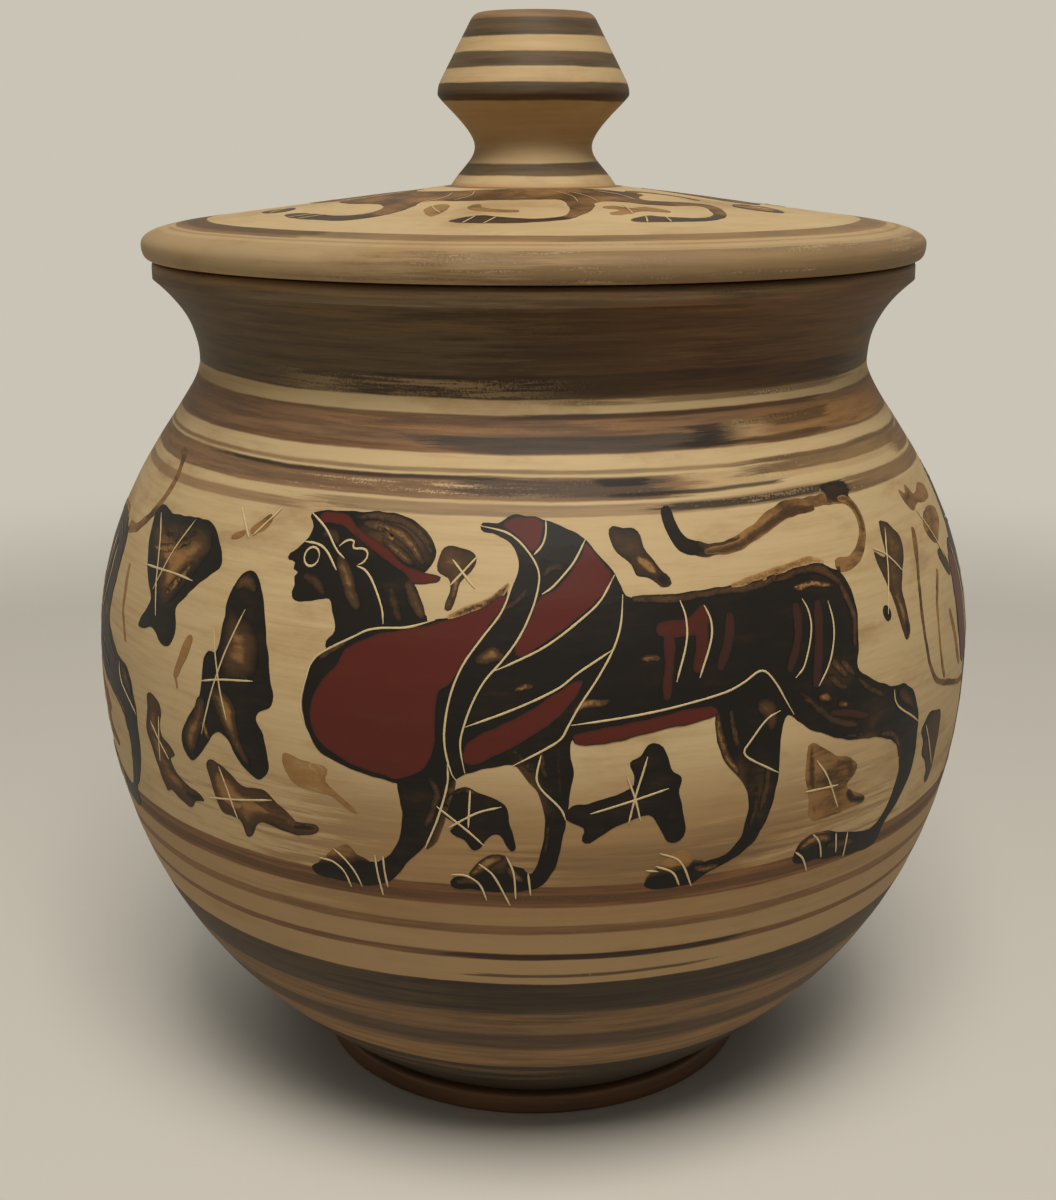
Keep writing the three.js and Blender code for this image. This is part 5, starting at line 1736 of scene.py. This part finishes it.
# What is painted on one piece of clay: filled layers of slip, and scratched lines
Layers = namedtuple("Layers", "dark marks red lines")


def drawn(shapes, figure):
    """Outlines with their thinness, where a figure stands."""
    return [(thin, placed(outline, figure)) for thin, outline in shapes]


def scratch(lines, figure, layers):
    """Scratched lines, where a figure stands."""
    layers.lines.extend(placed(line, figure) for line in lines)


def paint_red(groups, figure, layers):
    """Red slip, whose edges let the black under it show."""
    for group in groups:
        layers.red.append(filled(drawn(group, figure), figure.seed, MARK_STEP, under=RED_EDGE))


def paint_ornaments(ornaments, figure, layers):
    """The ornaments round a figure and their scratches."""
    for ornament in ornaments:
        shape = drawn([(ornament.thinness, ornament.outline)], figure)
        layers.dark.append(filled(shape, figure.seed, ORNAMENT_STEP, pooled=True))
        scratch(ornament.scratches, figure, layers)


def paint_lion(figure, layers):
    """One winged lion of the frieze, with its ornaments."""
    first = figure.arc == 0
    ornaments = FIGURE_ORNAMENTS + (FIRST_ORNAMENTS if first else [])
    slip = drawn(FIGURE_SLIP + (FIRST_TAIL if first else OTHER_TAIL), figure)
    corners, triangles, thinness = filled(slip, figure.seed)
    layers.dark.append((corners, triangles, thinned(corners, thinness, figure)))
    strokes = [(BODY_THINNESS, stroke) for stroke in FIGURE_MARKS_AND_SHEEN]
    strokes += [(SMEAR_THINNESS, stroke) for stroke in BACK_SMEARS]
    strokes += [(TAIL_THINNESS, stroke) for stroke in TAIL_MARKS if first]
    strokes += [(ornament.thinness, stroke) for ornament in ornaments for stroke in ornament.marks]
    for under, stroke in strokes:
        shape = drawn([stroke], figure)
        layers.marks.append(filled(shape, figure.seed, MARK_STEP, under=under, soft=MARK_SOFTNESS))
    paint_red(FIGURE_RED, figure, layers)
    scratch(FIGURE_SCRATCHES, figure, layers)
    paint_ornaments(ornaments, figure, layers)


def paint_bird(bird, layers):
    """One bird between the lions, with its ornaments."""
    layers.dark.append(filled(drawn(BIRD_SLIP, bird), bird.seed))
    paint_red([BIRD_RED], bird, layers)
    scratch(BIRD_SCRATCHES, bird, layers)
    paint_ornaments(BIRD_ORNAMENTS, bird, layers)


class JAR_OT_paint_frieze(Operator):
    """Paints and scratches the frieze of winged lions"""
    bl_idname = "jar.paint_frieze"
    bl_label = "Paint the frieze"

    def execute(self, context):
        p = paint()
        noise.seed_set(p.seed)
        radius = sizes().belly_radius
        ground = Ground("painted_jar", "jar", radius, radius * 2, False)
        layers = Layers([], [], [], [])
        for figure in FIGURES:
            paint_lion(figure, layers)
        for bird in BIRDS:
            paint_bird(bird, layers)
        lay_slip("frieze_dark_slip", layers.dark, "black_slip", p.slip_lift, ground)
        # Brush marks of thinner slip, among them the painted sheen of the figures
        lay_slip("frieze_brush_marks", layers.marks, "black_slip", p.mark_lift, ground)
        lay_slip("frieze_red_slip", layers.red, "red_slip", p.red_lift, ground)
        lay_lines("frieze_scratches", layers.lines, ground)
        return {"FINISHED"}


# The lions of the lid: points (arc at the middle of the top, radius)

LID_ARC_RADIUS = 45.0
LID_LION = [
    (40, 24), (34, 19.5), (24, 17.2), (10, 16.8), (-6, 17), (-20, 18.2), (-34, 20.5), (-46, 22),
    (-55, 22.5), (-61, 22), (-64, 20.5), (-67, 23), (-73, 26), (-78, 31), (-81, 37), (-79, 41.5),
    (-73, 42), (-67, 39.5), (-62, 36.5), (-55, 37), (-47, 36.5), (-40, 35.5), (-35, 37), (-32, 40),
    (-31, 44), (-34, 47), (-40, 47), (-46, 47), (-48, 49), (-44, 51), (-36, 51.5), (-30, 51), (-27, 47),
    (-26, 42), (-27, 36), (-29, 31.5), (-20, 30.3), (-8, 28.5), (4, 28), (7.5, 28.5), (7.5, 35),
    (6.5, 40), (4.5, 44.5), (0, 46.3), (-5, 45.2), (-9, 43.5), (-12, 46.5), (-12.5, 49.5), (-6, 50.5),
    (0, 49.3), (5, 47), (8, 43.5), (11, 39), (13.5, 35), (15, 32), (20, 30.5), (24, 32), (27, 34.5),
    (33, 36.8), (38, 37.3), (39, 38.5), (36, 42), (32, 46), (28, 48), (22, 47), (20, 44.8), (17, 46),
    (14.8, 49.5), (20, 50.5), (28, 50.5), (33, 48), (38, 43.5), (43, 38), (41, 34.5), (34, 32), (31, 30),
    (34, 27), (39, 25.5),
]
LID_TAIL = ribbon([(38, 23), (44, 22), (49.5, 24.5), (51.5, 29), (49, 33)],
                  [2.2, 2, 1.9, 1.8, 1.2])
LID_PAWS = [
    [(-35, 47.6), (-46, 47.4), (-47.4, 49), (-44, 50.6), (-35, 51), (-29, 50), (-28, 46)],
    [(-9, 44.2), (-11.4, 46.8), (-11.8, 49.2), (-6, 50), (0, 48.8), (5, 46), (0, 47)],
    [(20, 45.4), (17.4, 46.4), (15.4, 49.2), (20, 50), (28, 50), (33, 47.4), (28, 48.6)],
]
LID_SCRATCHES = [
    [(-9.8, 44.6), (-10.3, 50.8)], [(-6.2, 45.2), (-7.2, 50.8)], [(18.6, 45.6), (16.6, 50.6)],
    [(22.2, 45.6), (20.4, 50.8)], [(-42, 46.8), (-43.5, 51.4)], [(-38.5, 46.8), (-40, 51.6)],
    [(9, 20), (12, 25), (11, 31)], [(14, 20), (17, 25), (16.5, 30.5)],
    [(-24, 20.5), (-20.5, 25), (-21.5, 30)], [(-31, 22.5), (-27.5, 27), (-28.5, 33)],
    [(-60, 24.5), (-58, 30), (-61, 36)], [(26, 19.5), (30, 24), (28.5, 30)],
]
LID_ORNAMENTS = [
    Ornament(1.25, [(-22, 34), (-18.5, 35.5), (-17, 45), (-19, 43.5), (-22.5, 38)],
             [[(-22.5, 36), (-17, 42)]]),
    Ornament(0.95, [(-13, 33), (-11, 36), (-6, 38.2), (-3, 38.6), (-3.5, 40.5), (-10, 39.8),
                    (-14, 36.5)], []),
    Ornament(1.2, [(14.5, 36.5), (18, 35), (20, 37.5), (24.5, 37), (26, 42), (21, 40.5),
                   (15, 43.5), (13.5, 42), (17, 39)], [[(20.5, 34.5), (17.5, 43)]]),
    Ornament(0.6, [(48, 41), (54, 39), (58.5, 42.5), (55, 47), (50, 48)],
             [[(49, 40), (56, 46.5)], [(57, 40.5), (50, 47)]]),
    Ornament(0.55, [(-61, 45.5), (-57, 45), (-53.5, 47.5), (-56.5, 50.5), (-61, 50)],
             [[(-60.5, 46), (-55, 50)]]),
]
LID_SLIP = [(0.7, LID_LION), (0.72, LID_TAIL), *((0.34, paw) for paw in LID_PAWS)]
LID_LION_COUNT = 2
LID_LIONS_APART = math.tau * LID_ARC_RADIUS / LID_LION_COUNT
LID_FIGURES = [Figure(count * LID_LIONS_APART, 1, 0, 0, count) for count in range(LID_LION_COUNT)]
LID_SCRATCH_WIDTH = 0.8
# How far above the knob the rays start, in metres
RAY_CLEARANCE = 0.05


class JAR_OT_paint_lid(Operator):
    """Paints and scratches the walking lions of the lid"""
    bl_idname = "jar.paint_lid"
    bl_label = "Paint the lid"

    def execute(self, context):
        p = paint()
        noise.seed_set(p.seed)
        reach = lid_sizes().knob_crown + RAY_CLEARANCE
        ground = Ground("painted_lid", "lid", LID_ARC_RADIUS * MM, reach, True)
        layers = Layers([], [], [], [])
        for lion in LID_FIGURES:
            layers.dark.append(filled(drawn(LID_SLIP, lion), lion.seed))
            paint_ornaments(LID_ORNAMENTS, lion, layers)
            scratch(LID_SCRATCHES, lion, layers)
        lay_slip("lid_dark_slip", layers.dark, "black_slip", p.slip_lift, ground)
        lay_lines("lid_scratches", layers.lines, ground, width=LID_SCRATCH_WIDTH)
        return {"FINISHED"}


# Studio

CAMERA_PLACE = (-0.001, -0.3274, 0.1793)
CAMERA_TILT = math.radians(74.62)
CAMERA_LENS = 51.0
CAMERA_SENSOR = 36.0
CAMERA_NEAR = 0.01
FLOOR_HALF_WIDTH = 4.0
FLOOR_COLOUR = srgb(218, 212, 200)
FLOOR_ROUGHNESS = 0.9
FLOOR_FADE = (0.2, 0.6)
# How much the floor glows for the camera near the jar, and over which radii it rises: painted light over the
# jar's shadow beyond the foot
PAINTED_SHADOW_LIFT = 0.34
PAINTED_LIFT_RADII = (0.042, 0.09)
BACKDROP_COLOUR = (*srgb(202, 196, 182), 1.0)


def seen_directly(tree):
    """1 for rays from the camera and for those that shiny or clear things pass on."""
    path = add(tree, "ShaderNodeLightPath").outputs
    shown = calc(tree, "MAXIMUM", path["Is Camera Ray"], path["Is Glossy Ray"])
    return calc(tree, "MAXIMUM", shown, path["Is Transmission Ray"])


def studio_floor():
    """A wide pale floor that fades into the backdrop away from the jar; beyond the foot it glows for the
    camera, a painted lightening of the jar's shadow.
    """
    half = FLOOR_HALF_WIDTH
    mesh = bpy.data.meshes.new("studio_floor")
    mesh.from_pydata([(-half, -half, 0.0), (half, -half, 0.0), (half, half, 0.0), (-half, half, 0.0)],
                     [], [(0, 1, 2, 3)])
    floor = put("studio_floor", mesh)
    material, tree, shader = new_finish("studio_paper")
    shader.inputs["Base Color"].default_value = (*FLOOR_COLOUR, 1.0)
    shader.inputs["Roughness"].default_value = FLOOR_ROUGHNESS
    x, y, _ = own_place(tree)
    radius = from_axis(tree, x, y)
    # The jar's shadow painted lighter beyond the foot
    painted_lift = times(tree, ramp(tree, radius, *PAINTED_LIFT_RADII), PAINTED_SHADOW_LIFT)
    faded = calc(tree, "MAXIMUM", ramp(tree, radius, *FLOOR_FADE), painted_lift)
    share = times(tree, faded, seen_directly(tree))
    glow = new(tree, "ShaderNodeEmission", {"Color": BACKDROP_COLOUR, "Strength": 1.0})
    shown = new(tree, "ShaderNodeMixShader", {0: share, 1: shader.outputs[0], 2: glow})
    tree.links.new(shown, tree.nodes["Material Output"].inputs["Surface"])
    floor.data.materials.append(material)


Lamp = namedtuple("Lamp", "name place aim size watts tint")
LAMPS = [
    Lamp("overhead_softbox", (0.03, -0.46, 0.94), (0.0, 0.0, 0.12), 0.42, 8.4, (1.0, 0.96, 0.9)),
    Lamp("front_fill", (-0.35, -0.95, 0.7), (0.0, 0.0, 0.1), 0.9, 0.35, (1.0, 0.97, 0.92)),
]
AIR_COLOUR = (1.0, 0.98, 0.95, 1.0)
AIR_LIGHT = 0.08


class JAR_OT_set_stage(Operator):
    """Sets the pale floor and backdrop, the lamps and the camera"""
    bl_idname = "jar.set_stage"
    bl_label = "Set the stage"

    def execute(self, context):
        scene = context.scene
        studio_floor()
        for lamp in LAMPS:
            light = bpy.data.lights.new(lamp.name, "AREA")
            light.energy = lamp.watts
            light.size = lamp.size
            light.color = lamp.tint
            made = put(lamp.name, light)
            made.location = lamp.place
            way = Vector(lamp.aim) - Vector(lamp.place)
            made.rotation_euler = way.to_track_quat("-Z", "Y").to_euler()
        world = bpy.data.worlds.new("studio")
        world.use_nodes = True
        tree = world.node_tree
        air = tree.nodes["Background"]
        air.inputs["Color"].default_value = AIR_COLOUR
        air.inputs["Strength"].default_value = AIR_LIGHT
        backdrop = new(tree, "ShaderNodeBackground", {"Color": BACKDROP_COLOUR, "Strength": 1.0})
        shown = new(tree, "ShaderNodeMixShader", {0: seen_directly(tree), 1: air.outputs[0], 2: backdrop})
        tree.links.new(shown, tree.nodes["World Output"].inputs["Surface"])
        scene.world = world
        camera = bpy.data.cameras.new("photo_camera")
        camera.lens = CAMERA_LENS
        camera.sensor_width = CAMERA_SENSOR
        camera.clip_start = CAMERA_NEAR
        made = put("photo_camera", camera)
        made.location = CAMERA_PLACE
        made.rotation_euler = (CAMERA_TILT, 0.0, 0.0)
        scene.camera = made
        scene.view_settings.view_transform = "Standard"
        return {"FINISHED"}


STEPS = [JAR_OT_throw_jar, JAR_OT_throw_lid, JAR_OT_paint_frieze, JAR_OT_paint_lid, JAR_OT_set_stage]


class JAR_PT_panel(Panel):
    """Lists the steps of making the jar"""
    bl_idname = "JAR_PT_panel"
    bl_label = "Painted lidded jar"
    bl_space_type = "VIEW_3D"
    bl_region_type = "UI"
    bl_category = "Jar"

    def draw(self, context):
        for step in STEPS:
            self.layout.operator(step.bl_idname)


GROUPS = {"jar_sizes": JarSizes, "jar_lid": LidSizes, "jar_paint": PaintSizes, "jar_colours": ClayColours}


def register():
    for group in GROUPS.values():
        bpy.utils.register_class(group)
    for step in STEPS:
        bpy.utils.register_class(step)
    bpy.utils.register_class(JAR_PT_panel)
    for name, group in GROUPS.items():
        setattr(bpy.types.Scene, name, PointerProperty(type=group))


def unregister():
    for name in GROUPS:
        delattr(bpy.types.Scene, name)
    bpy.utils.unregister_class(JAR_PT_panel)
    for step in STEPS:
        bpy.utils.unregister_class(step)
    for group in GROUPS.values():
        bpy.utils.unregister_class(group)


def main():
    """Makes the jar in order."""
    register()
    bpy.ops.jar.throw_jar()
    bpy.ops.jar.throw_lid()
    bpy.ops.jar.paint_frieze()
    bpy.ops.jar.paint_lid()
    bpy.ops.jar.set_stage()


if __name__ == "__main__":
    main()
